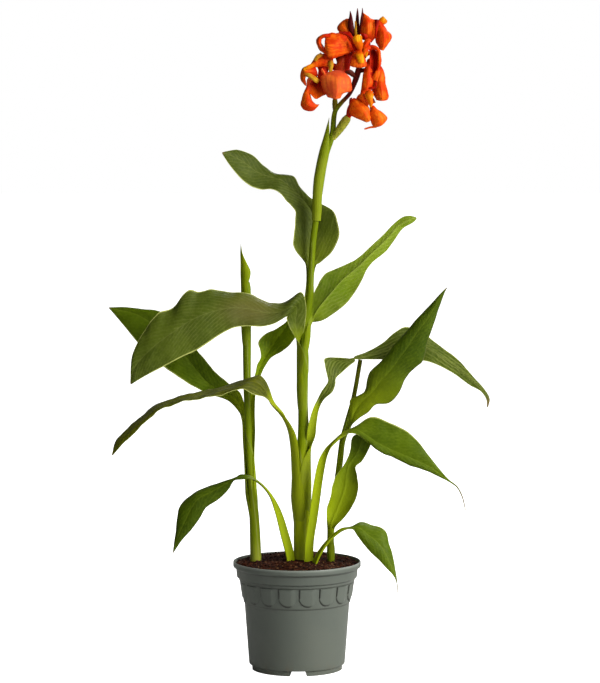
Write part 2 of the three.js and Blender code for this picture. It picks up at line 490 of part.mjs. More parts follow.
// A smooth curve through rows of numbers whose first three are a place, read at row number s,
// which may fall between two rows.
function through(rows, s) {
  const start = THREE.MathUtils.clamp(Math.floor(s), 0, rows.length - 2);
  const u = THREE.MathUtils.clamp(s - start, 0, 1);
  const row = (k) => rows[THREE.MathUtils.clamp(k, 0, rows.length - 1)];
  const [a, b, c, d] = [row(start - 1), row(start), row(start + 1), row(start + 2)];
  const span = distance(b, c);
  const leaving = span / (distance(a, b) + span);
  const arriving = span / (span + distance(c, d));
  return b.map((_, n) => {
    const step = c[n] - b[n];
    const out = leaving * (c[n] - a[n]);
    const into = arriving * (d[n] - b[n]);
    return b[n] + u * (out + u * (3 * step - 2 * out - into + u * (out + into - 2 * step)));
  });
}

// Row numbers along such a curve, from the first row to the last, about one step length apart.
function stops(rows, stepLength) {
  const marks = [0];
  for (let k = 0; k < rows.length - 1; k += 1) {
    const count = Math.max(1, Math.round(distance(rows[k], rows[k + 1]) / stepLength));
    for (let i = 1; i <= count; i += 1) marks.push(k + i / count);
  }
  return marks;
}

// A closed body from rings of points. turned(i) says which quads are split along their other diagonal.
function loft(rings, turned = () => false) {
  const sides = rings[0].length;
  const positions = rings.flat().flatMap((p) => [p.x, p.y, p.z]);
  const index = [];
  for (let k = 0; k < rings.length - 1; k += 1) {
    for (let i = 0; i < sides; i += 1) {
      const next = (i + 1) % sides;
      const [a, b] = [k * sides + i, k * sides + next];
      const [c, d] = [a + sides, b + sides];
      if (turned(i)) index.push(a, b, c, b, d, c);
      else index.push(a, b, d, a, d, c);
    }
  }
  const last = (rings.length - 1) * sides;
  for (let i = 0; i < sides / 2 - 1; i += 1) {
    const [a, b, c, d] = [i, i + 1, sides - 2 - i, sides - 1 - i];
    index.push(a, c, b, a, d, c);
    index.push(last + a, last + b, last + c, last + a, last + c, last + d);
  }
  const geometry = new THREE.BufferGeometry();
  geometry.setAttribute('position', new THREE.Float32BufferAttribute(positions, 3));
  geometry.setIndex(index);
  return facingOut(geometry);
}

// The same body with its faces pointing out.
function facingOut(geometry) {
  const index = geometry.getIndex().array;
  const at = (i) => new THREE.Vector3().fromBufferAttribute(geometry.getAttribute('position'), index[i]);
  let volume = 0;
  for (let i = 0; i < index.length; i += 3) volume += at(i).dot(at(i + 1).cross(at(i + 2)));
  if (volume < 0) geometry.setIndex(Array.from(index).reverse());
  return geometry;
}

// A round stem through rows of x, y, z, radius; grow makes it fatter all round.
function stem(rows, sides, grow = 0) {
  const rings = rows.map((row, k) => {
    const before = new THREE.Vector3(...rows[Math.max(k - 1, 0)]);
    const after = new THREE.Vector3(...rows[Math.min(k + 1, rows.length - 1)]);
    const along = after.sub(before).normalize();
    const reach = k === 0 ? -grow : k === rows.length - 1 ? grow : 0;
    const centre = new THREE.Vector3(row[0], row[1], row[2]).addScaledVector(along, reach);
    const guide = Math.abs(along.y) < 0.9 ? new THREE.Vector3(0, 1, 0) : new THREE.Vector3(1, 0, 0);
    const across = new THREE.Vector3().crossVectors(guide, along).normalize();
    const up = new THREE.Vector3().crossVectors(along, across);
    return Array.from({ length: sides }, (_, i) => {
      const angle = (i / sides) * 2 * Math.PI;
      const radius = row[3] + grow;
      return centre.clone()
        .addScaledVector(across, radius * Math.cos(angle))
        .addScaledVector(up, radius * Math.sin(angle));
    });
  });
  return loft(rings);
}

// A thin curved blade through stations of place, width, curl and facing. Its cross-section is an arc,
// with a keel along the middle of its under side; grow makes it fatter all round.
function blade(stations, { step, strips, thickness, keel = 0, grow = 0 }) {
  const rows = stations.map(([place, width, curl, facing]) => {
    const face = new THREE.Vector3(...facing).normalize();
    return [...place, width, curl, face.x, face.y, face.z];
  });
  const placeAt = (s) => new THREE.Vector3(...through(rows, s).slice(0, 3));
  const last = rows.length - 1;
  return loft(stops(rows, step).map((s) => {
    const row = through(rows, s);
    const along = placeAt(s + 0.05).sub(placeAt(s - 0.05)).normalize();
    const face = new THREE.Vector3(row[5], row[6], row[7]);
    face.addScaledVector(along, -face.dot(along)).normalize();
    const across = new THREE.Vector3().crossVectors(along, face);
    const reach = s === 0 ? -grow : s === last ? grow : 0;
    const middle = placeAt(s).addScaledVector(along, reach);
    const curl = radians(Math.abs(row[4]) < 1 ? 1 : row[4]);
    const width = Math.max(row[3], 1.2);
    const ridge = keel * (1.1 - s / last);
    const upper = [];
    const under = [];
    for (let j = 0; j <= strips; j += 1) {
      const turn = (j / strips - 0.5) * curl;
      const side = j === 0 ? -grow : j === strips ? grow : 0;
      const point = middle.clone()
        .addScaledVector(across, (width / curl) * Math.sin(turn) + side * Math.cos(turn))
        .addScaledVector(face, (width / curl) * (1 - Math.cos(turn)) + side * Math.sin(turn));
      const normal = face.clone().multiplyScalar(Math.cos(turn)).addScaledVector(across, -Math.sin(turn));
      const depth = thickness / 2 + grow;
      upper.push(point.clone().addScaledVector(normal, depth));
      under.unshift(point.clone().addScaledVector(normal, -depth - (2 * j === strips ? ridge : 0)));
    }
    return [...upper, ...under];
  }), (i) => i > strips);
}

// Where a shoot's axis is at a height, and its radius there.
function shootAt(rows, height) {
  const above = Math.max(rows.findIndex((row) => row[2] >= height), 1);
  const [low, high] = [rows[above - 1], rows[above]];
  const share = (height - low[2]) / (high[2] - low[2]);
  return low.map((value, n) => value + share * (high[n] - value));
}

// The stations of a leaf's sheath, which wraps part of the way round its shoot and opens upward.
function sheathStations(leaf) {
  const full = radians(leaf.wrap ?? SHEATH_WRAP);
  const out = new THREE.Vector3(Math.cos(radians(leaf.azimuth)), Math.sin(radians(leaf.azimuth)), 0);
  const [low, high] = leaf.sheath;
  return [0, 0.35, 0.7, 1].map((share) => {
    const [x, y, z, radius] = shootAt(SHOOTS[leaf.shoot], low + share * (high - low));
    const wrap = full * (1 - SHEATH_OPENING * share * share);
    const corner = 1 / Math.cos(wrap / BLADE_STRIPS / 2);
    const inner = (radius + SHEATH_SLACK + BLADE_THICKNESS / 2) * corner;
    const reach = leaf.layer ? (inner + BLADE_THICKNESS + 3 * GAP) * corner : inner;
    const place = [x + reach * out.x, y + reach * out.y, z];
    return [place, reach * wrap, THREE.MathUtils.radToDeg(wrap), [-out.x, -out.y, 0]];
  });
}

function leafShape(leaf, grow = 0) {
  const stations = [...(leaf.shoot ? sheathStations(leaf) : []), ...leaf.blade];
  const keel = leaf.shoot ? 0.5 * KEEL : KEEL;
  const strips = leaf.shoot ? BLADE_STRIPS : BLADE_STRIPS - 2;
  return blade(stations, { step: BLADE_STEP, strips, thickness: BLADE_THICKNESS, keel, grow });
}

function petalShape(stations, grow = 0) {
  return blade(stations, { step: PETAL_STEP, strips: PETAL_STRIPS, thickness: PETAL_THICKNESS, grow });
}

// ---------------------------------------------------------------- joining and cutting
function toSolid(geometry) {
  const bare = geometry.clone();
  bare.deleteAttribute('normal');
  bare.deleteAttribute('uv');
  const merged = mergeVertices(bare, 1e-3);
  const vertProperties = new Float32Array(merged.getAttribute('position').array);
  const triVerts = new Uint32Array(merged.getIndex().array);
  return new wasm.Manifold(new wasm.Mesh({ numProp: 3, vertProperties, triVerts }));
}

// The largest body of a solid as a geometry. A cut may leave scraps, which go, but no real piece may
// be loose.
function toGeometry(solid) {
  const bodies = solid.decompose().sort((a, b) => b.volume() - a.volume());
  if (bodies.length > 1 && bodies[1].volume() > SCRAP) throw new Error('a piece is loose');
  const mesh = bodies[0].getMesh();
  const geometry = new THREE.BufferGeometry();
  geometry.setAttribute('position', new THREE.Float32BufferAttribute(mesh.vertProperties, 3));
  geometry.setIndex(Array.from(mesh.triVerts));
  return geometry;
}

const joined = (solids) => solids.reduce((all, solid) => all.add(solid));

// ---------------------------------------------------------------- pot and soil
// A profile of radius and height turned round the Z axis.
function turnedShape(profile) {
  const points = profile.map(([radius, height]) => new THREE.Vector2(radius, height));
  const geometry = new THREE.LatheGeometry(points, POT_SIDES);
  geometry.rotateX(Math.PI / 2);
  geometry.deleteAttribute('normal');
  geometry.deleteAttribute('uv');
  return facingOut(mergeVertices(geometry, 1e-3));
}

function radiusAt(profile, height) {
  const above = Math.max(profile.findIndex((row) => row[1] >= height), 1);
  const [low, high] = [profile[above - 1], profile[above]];
  return low[0] + ((height - low[1]) / (high[1] - low[1])) * (high[0] - low[0]);
}

// A raised panel with a rounded lower edge, wrapped on the band under the rim.
function scallop(turn) {
  const { halfWidth, top, shoulder, bottom, proud, sunk } = SCALLOP;
  const columns = [-1, -0.7, 0, 0.7, 1];
  const rings = columns.map((share) => {
    const foot = shoulder - (shoulder - bottom) * Math.sqrt(1 - share * share);
    const corner = (height, out) => {
      const radius = radiusAt(POT_OUTSIDE, height);
      const angle = turn + (share * halfWidth) / radius;
      return new THREE.Vector3((radius + out) * Math.cos(angle), (radius + out) * Math.sin(angle), height);
    };
    return [corner(top, -sunk), corner(top, proud), corner(foot, proud), corner(foot, -sunk)];
  });
  return loft(rings);
}

// The gap in the foot that lets water run out.
function footNotch(turn) {
  const { topWidth, bottomWidth, height } = NOTCH;
  const outline = new THREE.Shape([
    new THREE.Vector2(-bottomWidth / 2, -1), new THREE.Vector2(bottomWidth / 2, -1),
    new THREE.Vector2(topWidth / 2, height), new THREE.Vector2(-topWidth / 2, height),
  ]);
  const geometry = new THREE.ExtrudeGeometry(outline, { depth: 20, bevelEnabled: false });
  geometry.rotateX(Math.PI / 2);
  geometry.translate(0, -FOOT_RADIUS + FOOT_WALL + 3, 0);
  geometry.rotateZ(turn);
  return geometry;
}

function drainHole(turn) {
  const geometry = new THREE.CylinderGeometry(DRAINS.radius, DRAINS.radius, 12, 10);
  geometry.rotateX(Math.PI / 2);
  geometry.translate(DRAINS.circle, 0, FLOOR_TOP);
  geometry.rotateZ(turn);
  return geometry;
}

const round = (count, make, start = 0) =>
  Array.from({ length: count }, (_, i) => toSolid(make(start + (i / count) * 2 * Math.PI)));

function potShape() {
  const inner = FOOT_RADIUS - FOOT_WALL;
  const profile = [
    [0, FLOOR_UNDERSIDE], [inner, FLOOR_UNDERSIDE], [inner, 0],
    ...POT_OUTSIDE, ...POT_INSIDE, [0, FLOOR_TOP],
  ];
  const body = joined([toSolid(turnedShape(profile)), ...round(SCALLOPS, scallop, radians(-90))]);
  const cuts = [
    ...round(FOOT_NOTCHES, footNotch, radians(NOTCH.turn)),
    ...round(DRAINS.count, drainHole, radians(15)),
  ];
  return toGeometry(body.subtract(joined(cuts)));
}

// Repeatable noise from 0 to 1.
function noise(a, b) {
  const wave = Math.sin(a * 12.9898 + b * 78.233) * 43758.5453;
  return wave - Math.floor(wave);
}

// The potting soil, with plain holes for what grows out of it.
function soilShape(growing) {
  const side = [...POT_INSIDE].reverse().slice(0, -1)
    .map(([radius, height]) => [radius - 1.3 * GAP, height + GAP]);
  const mound = [0.94, 0.7, 0.45, 0.2].map((share) => {
    const radius = share * (RIM_RADIUS - 3);
    return [radius, SOIL_CROWN - (SOIL_CROWN - SOIL_EDGE) * share * share];
  });
  const edge = side[side.length - 1][0];
  const geometry = turnedShape([
    [0, FLOOR_TOP + GAP], ...side, [edge, SOIL_EDGE - 1], ...mound, [0, SOIL_CROWN],
  ]);
  const position = geometry.getAttribute('position');
  for (let i = 0; i < position.count; i += 1) {
    const radius = Math.hypot(position.getX(i), position.getY(i));
    const onTop = position.getZ(i) > SOIL_EDGE - 0.5 && radius < 0.95 * RIM_RADIUS;
    const lift = SOIL_ROUGHNESS * (2 * noise(position.getX(i), position.getY(i)) - 1);
    if (onTop) position.setZ(i, position.getZ(i) + lift);
  }
  return toGeometry(toSolid(geometry).subtract(joined(growing.map(toSolid))));
}

// ---------------------------------------------------------------- assembly
const plant = new THREE.Group();

function add(name, geometry, look) {
  const material = new THREE.MeshStandardMaterial({ ...COLOURS[look], metalness: 0, flatShading: true });
  const mesh = new THREE.Mesh(geometry, material);
  mesh.name = name;
  plant.add(mesh);
}

function addRoots() {
  const shoots = Object.values(SHOOTS);
  const basal = Object.values(LEAVES).filter((leaf) => !leaf.shoot);
  const growing = [
    ...shoots.map((rows) => stem(rows.slice(0, 3), STEM_SIDES, GAP)),
    ...basal.map((leaf) => leafShape(leaf, 1.6 * GAP)),
  ];
  add('soil', soilShape([...growing, stem(ROOTSTOCK, ROOTSTOCK_SIDES, GAP)]), 'soil');
  const sockets = joined(shoots.map((rows) => toSolid(stem(rows.slice(0, 3), STEM_SIDES, GAP))));
  add('rootstock', toGeometry(toSolid(stem(ROOTSTOCK, ROOTSTOCK_SIDES)).subtract(sockets)), 'rootstock');
}

function addStems() {
  const branches = Object.values(FLOWERS).map((flower) => toSolid(stem(flower.seedHead, TUBE_SIDES)));
  const stalk = toSolid(stem([...SHOOTS.centre, ...FLOWER_STALK.slice(1)], STEM_SIDES));
  add('stem_centre', toGeometry(joined([stalk, ...branches])), 'stem');
  add('stem_left', stem(SHOOTS.left, STEM_SIDES), 'stem');
  add('stem_right', stem(SHOOTS.right, STEM_SIDES), 'stem');
}

function addLeaves() {
  for (const [name, leaf] of Object.entries(LEAVES)) {
    add(name, leafShape(leaf), name === 'flower_sheath' ? 'stem' : 'leaf');
  }
}

function knot(place) {
  const geometry = new THREE.IcosahedronGeometry(MOUTH_RADIUS, 0);
  geometry.translate(place[0], place[1], place[2]);
  return geometry;
}

// A flower's tube, which starts a gap above the end of its seed head and in line with it.
function flowerTube(flower) {
  const [before, end] = flower.seedHead.slice(-2);
  const span = distance(before, end);
  const seat = (reach) => [0, 1, 2].map((n) => end[n] + ((end[n] - before[n]) / span) * reach);
  return [[...seat(GAP), end[3]], [...seat(GAP + 3), 0.7 * end[3]], ...flower.tube];
}

function addFlowers() {
  for (const [name, flower] of Object.entries(FLOWERS)) {
    const mouth = flower.tube[flower.tube.length - 1];
    const body = joined([
      toSolid(stem(flowerTube(flower), TUBE_SIDES)), toSolid(knot(mouth)),
      ...flower.petals.map((petal) => toSolid(petalShape(petal))),
    ]);
    const heart = flower.heart ?? [];
    const sockets = heart.map((petal) => toSolid(petalShape(petal, 1.5 * GAP)));
    const bloom = sockets.length ? body.subtract(joined(sockets)) : body;
    add(`bloom_${name}`, toGeometry(bloom), 'petal');
    if (heart.length) {
      add(`heart_${name}`, toGeometry(joined(heart.map((petal) => toSolid(petalShape(petal))))), 'heart');
    }
  }
  for (const [name, rows] of Object.entries(BUDS)) add(name, stem(rows, TUBE_SIDES), 'bud');
}

add('pot', potShape(), 'pot');
addRoots();
addStems();
addLeaves();
addFlowers();

export default plant;
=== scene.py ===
"""Canna lily in its nursery pot.

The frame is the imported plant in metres, +Z up, with the pot's axis at X = Y = 0 and the flowers towards
-Y. The lists of places below are in millimetres, as the plant was laid out.
"""

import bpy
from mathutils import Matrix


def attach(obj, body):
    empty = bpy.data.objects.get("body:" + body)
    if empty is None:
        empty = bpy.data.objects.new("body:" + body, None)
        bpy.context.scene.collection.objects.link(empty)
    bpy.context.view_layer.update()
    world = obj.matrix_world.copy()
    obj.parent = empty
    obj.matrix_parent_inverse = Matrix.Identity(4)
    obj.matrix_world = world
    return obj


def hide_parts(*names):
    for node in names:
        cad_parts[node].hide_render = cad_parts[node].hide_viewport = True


bl_info = {
    "name": "Canna Lily in a Nursery Pot",
    "version": (1, 0, 0),
    "blender": (4, 5, 0),
    "location": "View3D > Sidebar > Canna",
    "description": "Dresses the packed frame of a potted canna lily",
    "category": "Add Mesh",
}

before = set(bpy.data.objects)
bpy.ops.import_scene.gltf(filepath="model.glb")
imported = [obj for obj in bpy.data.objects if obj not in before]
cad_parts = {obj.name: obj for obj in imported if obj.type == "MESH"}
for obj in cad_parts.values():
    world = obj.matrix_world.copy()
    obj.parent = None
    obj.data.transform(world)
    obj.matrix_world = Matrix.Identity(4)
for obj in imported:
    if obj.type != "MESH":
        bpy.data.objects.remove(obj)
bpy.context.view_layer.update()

import math
import random

import bpy
import numpy as np
from mathutils import Vector, noise

MM = 0.001

# ------------------------------------------------------------------ where the plant grows
# A shoot, the flower stalk or a bud is rows of x, y, z, radius, from its foot up.
SHOOTS = {
    "centre": [
        [8, 12, 112, 12], [8, 12, 160, 12.6], [8, 12, 192, 13.2], [7.5, 12, 252, 12.2], [7.5, 12, 297, 11.4],
        [9, 12, 330, 9.2], [9.5, 12, 357, 8.1], [9, 12, 387, 7.3], [8.8, 12, 402, 7.1], [9, 12, 431, 7.5],
        [9.7, 12, 461, 7.9], [10.2, 12, 476, 6.8], [12, 12, 491, 5.8], [14, 12, 520, 5.6], [18, 12, 550, 5.3],
        [19.5, 12, 565, 5.1], [21, 12, 594, 4.8], [24, 12, 638, 4.7],
        [29, 12, 675, 4.6], [33.8, 12, 712, 4.6], [42.8, 12, 764, 4.5], [52, 12, 793, 4.3],
        [56, 12, 827, 3.6],
    ],
    "left": [
        [-61.5, 10, 112, 7.2], [-61.5, 10, 161, 8.3], [-64, 10, 230, 7.2], [-67, 10, 260, 6],
        [-69, 10, 292, 5.6], [-71, 10, 322, 5.2], [-72, 10, 350, 4.9], [-73, 10, 380, 5],
        [-74, 10, 415, 5.5], [-74.3, 10, 483, 6.3], [-74.5, 10, 500, 6.6], [-74.5, 10, 566, 6.2],
        [-74.5, 10, 576, 4.6],
    ],
    "right": [
        [51, 2, 112, 4.4], [51, 2, 162, 4.6], [50.5, 4, 207, 4.5], [55, 8, 251, 4.2],
        [61, 14, 291, 3.9], [67, 22, 338, 3.6], [73.6, 28, 363, 3.5], [84.8, 38, 402, 3.4],
        [95, 50, 457, 3.3],
    ],
}

# The flower stalk goes on from the end of the middle shoot.
FLOWER_STALK = [
    [65, 10, 840, 3.2], [77, 8, 853, 3], [84, 8, 868, 3.8], [89, 8, 883, 4.6], [92, 8, 896, 4],
    [90, 9, 915, 2.6], [87, 10, 928, 3.4], [87, 10, 935, 4.2],
]

# A leaf's sheath: its shoot, the heights that it rises from and to, the way that it opens and how far it
# wraps round the shoot, both in degrees, and how far it stands off to clear the sheath below it.
SHEATHS = {
    "leaf_big_left": ("centre", 398, 442, 195, 200, 0),
    "leaf_mid_left": ("centre", 232, 290, 190, 200, 1.9),
    "leaf_arching_right": ("centre", 250, 312, 345, 200, 0),
    "leaf_upper_right": ("centre", 484, 512, 0, 200, 0),
    "leaf_top_left": ("centre", 540, 578, 115, 200, 0),
    "leaf_far_left": ("left", 240, 292, 130, 200, 1.9),
    "leaf_back_left": ("left", 262, 312, 40, 200, 0),
    "leaf_rolled": ("left", 502, 566, 180, 280, 0),
    "leaf_upright_right": ("right", 290, 332, 300, 160, 0),
    "leaf_short_right": ("right", 165, 190, 250, 200, 0),
}

# Each blade is a list of stations from its foot to its tip. A station is the places of the left edge,
# the midrib and the right edge, or an arc: the midrib's place, the width round the arc, its curl in
# degrees and the way that it faces.
BLADES = {}
BLADES["leaf_big_left"] = [
    [[1, 3, 476], 28, 100, [0.9, 0.15, 0.2]],
    [[-1, 0, 506], 26, 62, [0.6, -0.8, 0.3]],
    [[-13, -8, 516.5], [-2, 2, 519], [12, 3, 514]],
    [[-15.5, -12, 524], [0, 2, 538], [13.5, 6, 540.5]],
    [[-16, -16, 526.5], [-6, -9, 541.5], [6, 5, 561.5]],
    [[-31, -26, 518], [-23.5, -15, 533.5], [-19, 2, 547]],
    [[-51, -33, 513], [-45.5, -21, 532], [-38.5, -3, 546]],
    [[-76, -38, 514], [-69, -27, 538.5], [-63.5, -6, 557]],
    [[-93.5, -43, 511.5], [-95, -34, 540.5], [-92.5, -12, 562.5]],
    [[-111, -48, 503], [-120, -41, 536.5], [-123.5, -18, 566.5]],
    [[-130, -52, 490.5], [-141.5, -47, 529.5], [-142.5, -24, 564]],
    [[-147.5, -56, 479.5], [-162, -52, 519.5], [-160, -29, 565.5]],
    [[-169, -60, 470], [-182, -56, 505.5], [-181.5, -38, 542]],
    [[-192, -64, 458], [-202.5, -60, 491], [-203, -44, 533]],
    [[-214, -66, 447], [-224.5, -63, 470.5], [-226, -52, 503.5]],
    [[-230, -67, 438], [-237.5, -65, 453.5], [-240, -60, 472]],
    [[-241, -66, 431], [-242, -66, 431], [-243, -66, 433]],
]
BLADES["leaf_mid_left"] = [
    [[-9.5, 0, 346], 22, 110, [0.85, 0.5, 0.3]],
    [[-20.5, -6, 375], 17, 130, [0.8, 0, 0.7]],
    [[-38, -13, 398], 14, 100, [0.7, -0.4, 0.6]],
    [[-48, -26, 408.5], [-47, -17, 418], [-43, -8, 425.5]],
    [[-64.5, -34, 413], [-59, -21, 429.5], [-54.5, -6, 438]],
    [[-78.5, -40, 421.5], [-72, -25, 430.5], [-68, -4, 436.5]],
    [[-95, -46, 419], [-91, -29, 424.5], [-88.5, -6, 429]],
    [[-112.5, -52, 413.5], [-113, -33, 419], [-111, -9, 421.5]],
    [[-134.5, -58, 410], [-135, -38, 413.5], [-134.5, -13, 417]],
    [[-159, -64, 406.5], [-159.5, -44, 409.5], [-159.5, -18, 413]],
    [[-182, -68, 401], [-184.5, -50, 403.5], [-185.5, -25, 405]],
    [[-201, -70, 392.5], [-206, -55, 395], [-211.5, -33, 395.5]],
    [[-217, -72, 379.5], [-225, -60, 380.5], [-232, -41, 378.5]],
    [[-235.5, -75, 361.5], [-243, -64, 364], [-249.5, -50, 364]],
    [[-252.5, -75, 345.5], [-258, -68, 349.5], [-264, -59, 348.5]],
    [[-268.5, -73, 327.5], [-269.5, -73, 327.5], [-270, -73, 329]],
]
BLADES["leaf_arching_right"] = [
    [[21, 4, 345], 14, 106, [-0.2, -0.9, 0.2]],
    [[23.5, 3, 370], 13, 106, [0.2, -0.9, 0.3]],
    [[28.5, 4, 389], 10, 106, [0.2, -0.9, 0.3]],
    [[30.5, 5, 402], [35, 7, 402.5], [40, 3, 402]],
    [[36.5, 3, 414], [43, 5, 414.5], [52.5, 5, 413]],
    [[45.5, 2, 428], [49, 6, 426.5], [57, 8, 424]],
    [[44.5, 2, 438], [50.5, 8, 436.5], [58, 10, 433]],
    [[41.5, 4, 453], [52, 12, 448], [67, 16, 441]],
    [[42.5, 8, 463], [59.5, 17, 458], [79, 19, 451.5]],
    [[65.5, 16, 463.5], [74.5, 20, 460.5], [86.5, 22, 457.5]],
    [[87, 21, 460.5], [87, 23, 462], [85.5, 25, 464]],
    [[105.5, 22, 460], [104.5, 26, 465.5], [103, 30, 470]],
    [[129.5, 24, 460], [130, 31, 473.5], [128.5, 39, 484]],
    [[150.5, 28, 458.5], [151, 35, 482], [149.5, 46, 500.5]],
    [[168.5, 30, 458.5], [169, 39, 484.5], [165, 50, 507]],
    [[186.5, 32, 457.5], [191.5, 40, 477], [190.5, 51, 495]],
    [[209, 31, 451.5], [213.5, 38, 464.5], [219, 49, 475]],
    [[236, 29, 436.5], [239, 35, 447], [244, 42, 455]],
    [[259.5, 25, 420], [263.5, 29, 426.5], [267.5, 33, 428.5]],
    [[273.5, 20, 412.5], [277.5, 23, 415], [281, 26, 413]],
    [[281.5, 15, 401.5], [285, 16, 401.5], [287, 17, 401.5]],
    [[282.5, 12, 390], [283.5, 12, 389], [284.5, 12, 390]],
]
BLADES["leaf_upper_right"] = [
    [[37, 6, 519], [29, 11, 532], [21.5, 20, 544.5]],
    [[56.5, 6, 531], [40, 11.5, 546.5], [25.5, 22, 560.5]],
    [[72.5, 8, 543.5], [53.5, 12, 563], [34, 22, 577]],
    [[84.5, 10, 558.5], [65, 12.5, 576.5], [44.5, 22, 589.5]],
    [[95, 12, 576], [78.5, 13, 588], [65.5, 20, 598.5]],
    [[104, 14, 594.5], [94, 13, 601.5], [84.5, 18, 607.5]],
    [[114, 16, 607], [106.5, 14, 614], [98, 18, 618]],
    [[132, 18, 621], [121.5, 15.5, 628], [114, 19, 633]],
    [[144, 20, 637], [136.5, 18, 642.5], [129, 20, 647]],
    [[156, 22, 653.5], [149, 19.5, 658], [142.5, 21, 661]],
    [[167.5, 22, 661], [162.5, 19, 666], [156.5, 22, 672]],
    [[174.5, 22, 665.5], [171.5, 21, 670], [167, 22, 674]],
    [[177.5, 22, 669.5], [177, 22, 671], [176, 22, 672]],
]
BLADES["leaf_top_left"] = [
    [[20.5, 22.5, 600], 18, 100, [0, -1, 0.1]],
    [[9, 20, 607.5], [21, 26, 611], [35.5, 22, 605]],
    [[-3, 18, 624.5], [21, 28, 628.5], [52, 20, 620]],
    [[-6, 19, 639.5], [22.5, 30, 646.5], [62.5, 19, 644]],
    [[-3, 21, 660], [24, 32, 664], [59.5, 20, 667.5]],
    [[-2, 24, 678], [21, 34, 680.5], [53.5, 24, 681.5]],
    [[-9, 25, 688], [12, 35, 693], [37, 32, 691]],
    [[-16.5, 24, 697], [1.5, 35, 705.5], [18.5, 38, 702]],
    [[-25, 23, 706.5], [-10.5, 34, 716], [4.5, 42, 716]],
    [[-38.5, 22, 713], [-23.5, 32, 726.5], [-6, 42, 732.5]],
    [[-53.5, 21, 713], [-40, 31, 731], [-29.5, 40, 735.5]],
    [[-69.5, 20, 718], [-59.5, 29, 738.5], [-49, 38, 747]],
    [[-85.5, 16, 732], [-75.5, 25, 750.5], [-67, 34, 764]],
    [[-99, 14, 747.5], [-91.5, 20, 760], [-87.5, 27, 771.5]],
    [[-106.5, 13, 759.5], [-102.5, 16, 765], [-100.5, 19, 770]],
    [[-110, 13, 765], [-110.5, 13, 766.5], [-110, 13, 768]],
]
BLADES["flower_sheath"] = [
    [place, width, curl, [0.82, 0.57, 0]] for place, width, curl in (
        ([24, 8.5, 667], 32, 300), ([24.5, 8.5, 683], 34, 300), ([25, 8.5, 698], 34, 300),
        ([27, 8, 727], 35.5, 300), ([29.5, 8, 742], 35.5, 290), ([32.5, 8, 757], 35.5, 280),
        ([36, 8, 771.5], 29.5, 240), ([40, 9, 786], 18, 190), ([44, 10, 801], 9, 160),
        ([46, 11, 810], 3.5, 120), ([47.5, 12, 818.5], 0.5, 60))
]
BLADES["leaf_far_left"] = [
    [[-79, 17, 338], 16, 140, [1, -0.5, 0.1]],
    [[-81, 20, 372], 14, 120, [0.8, -0.5, 0.5]],
    [[-101.5, 24, 397], [-91, 27, 400.5], [-83.5, 25, 408]],
    [[-124, 26, 405.5], [-112, 33, 411.5], [-100, 29, 421.5]],
    [[-140.5, 29, 411.5], [-131.5, 39, 421.5], [-115, 34, 434]],
    [[-160, 33, 422], [-148.5, 46, 439], [-130, 41, 448.5]],
    [[-181, 38, 434.5], [-165, 52, 459.5], [-147, 47, 469.5]],
    [[-200.5, 44, 448], [-183, 58, 480], [-165, 54, 489.5]],
    [[-222, 52, 465], [-206, 65, 501], [-183.5, 62, 513]],
    [[-240.5, 62, 483], [-229, 73, 517], [-204.5, 72, 527.5]],
    [[-257.5, 73, 502.5], [-249, 80, 525.5], [-232.5, 80, 532]],
    [[-271.5, 82, 518], [-269, 86, 529.5], [-260, 86, 534]],
    [[-283.5, 90, 531], [-284.5, 90, 532.5], [-283.5, 90, 533.5]],
]
BLADES["leaf_back_left"] = [
    [[-66, 15, 350], 12, 110, [-0.4, -1, 0.1]],
    [[-66.5, 16, 385], 12, 110, [-0.4, -1, 0.1]],
    [[-63.5, 19, 416], 10, 110, [-0.5, -0.9, 0.3]],
    [[-61.5, 20, 441.5], [-58, 23, 439.5], [-53, 21, 438.5]],
    [[-59, 21, 452.5], [-53.5, 25, 451.5], [-47.5, 23, 449.5]],
    [[-54, 22, 463.5], [-47, 29, 463], [-38, 25, 462.5]],
    [[-55.5, 24, 475.5], [-39.5, 33, 474.5], [-25.5, 27, 470]],
    [[-56.5, 27, 487], [-32, 38, 486.5], [-12.5, 29, 478.5]],
    [[-44.5, 31, 499], [-24, 42, 496.5], [-3, 33, 491]],
    [[-30, 37, 506], [-16.5, 45, 506.5], [0, 38, 503.5]],
    [[-18, 42, 513], [-10.5, 47, 515.5], [-0.5, 42, 516]],
    [[-9, 47, 524], [-7.5, 48, 525.5], [-6, 47, 524.5]],
]
BLADES["leaf_rolled"] = [
    [[-82.4, 10, 590], 38, 280, [1, 0, 0]],
    [[-82.4, 10, 604], 26, 170, [1, 0, 0]],
    [[-82.8, 10, 618], 12, 90, [1, 0, 0]],
    [[-83, 10, 634], 1.2, 0, [1, 0, 0]],
]
BLADES["leaf_upright_right"] = [
    [[79, 17, 360], 14, 100, [-0.6, -0.3, 0.3]],
    [[78.5, 16, 376], [83.5, 14, 374.5], [92, 10, 373]],
    [[78, 16, 391.5], [89.5, 12, 388.5], [105.5, 8, 382]],
    [[80.5, 18, 401], [99.5, 9, 400.5], [117.5, 8, 394]],
    [[98, 14, 410], [113, 4, 414], [136.5, 6, 396]],
    [[103.5, 10, 429], [123, 0, 428.5], [150, 4, 410]],
    [[108.5, 6, 442.5], [136, -4, 443.5], [160, 2, 431]],
    [[127.5, 2, 463], [151, -7, 464.5], [173.5, 0, 448.5]],
    [[146.5, 0, 486], [165.5, -9, 484], [187.5, -2, 462]],
    [[162.5, -3, 505.5], [178.5, -11, 505], [193.5, -4, 490.5]],
    [[181.5, -6, 527], [192, -12, 522.5], [204.5, -6, 521.5]],
    [[197.5, -9, 545], [203.5, -13, 541], [211, -9, 542.5]],
    [[211, -12, 560], [213, -13, 558], [216.5, -12, 559]],
    [[220.5, -12, 569.5], [221, -12, 569], [221.5, -12, 569]],
]
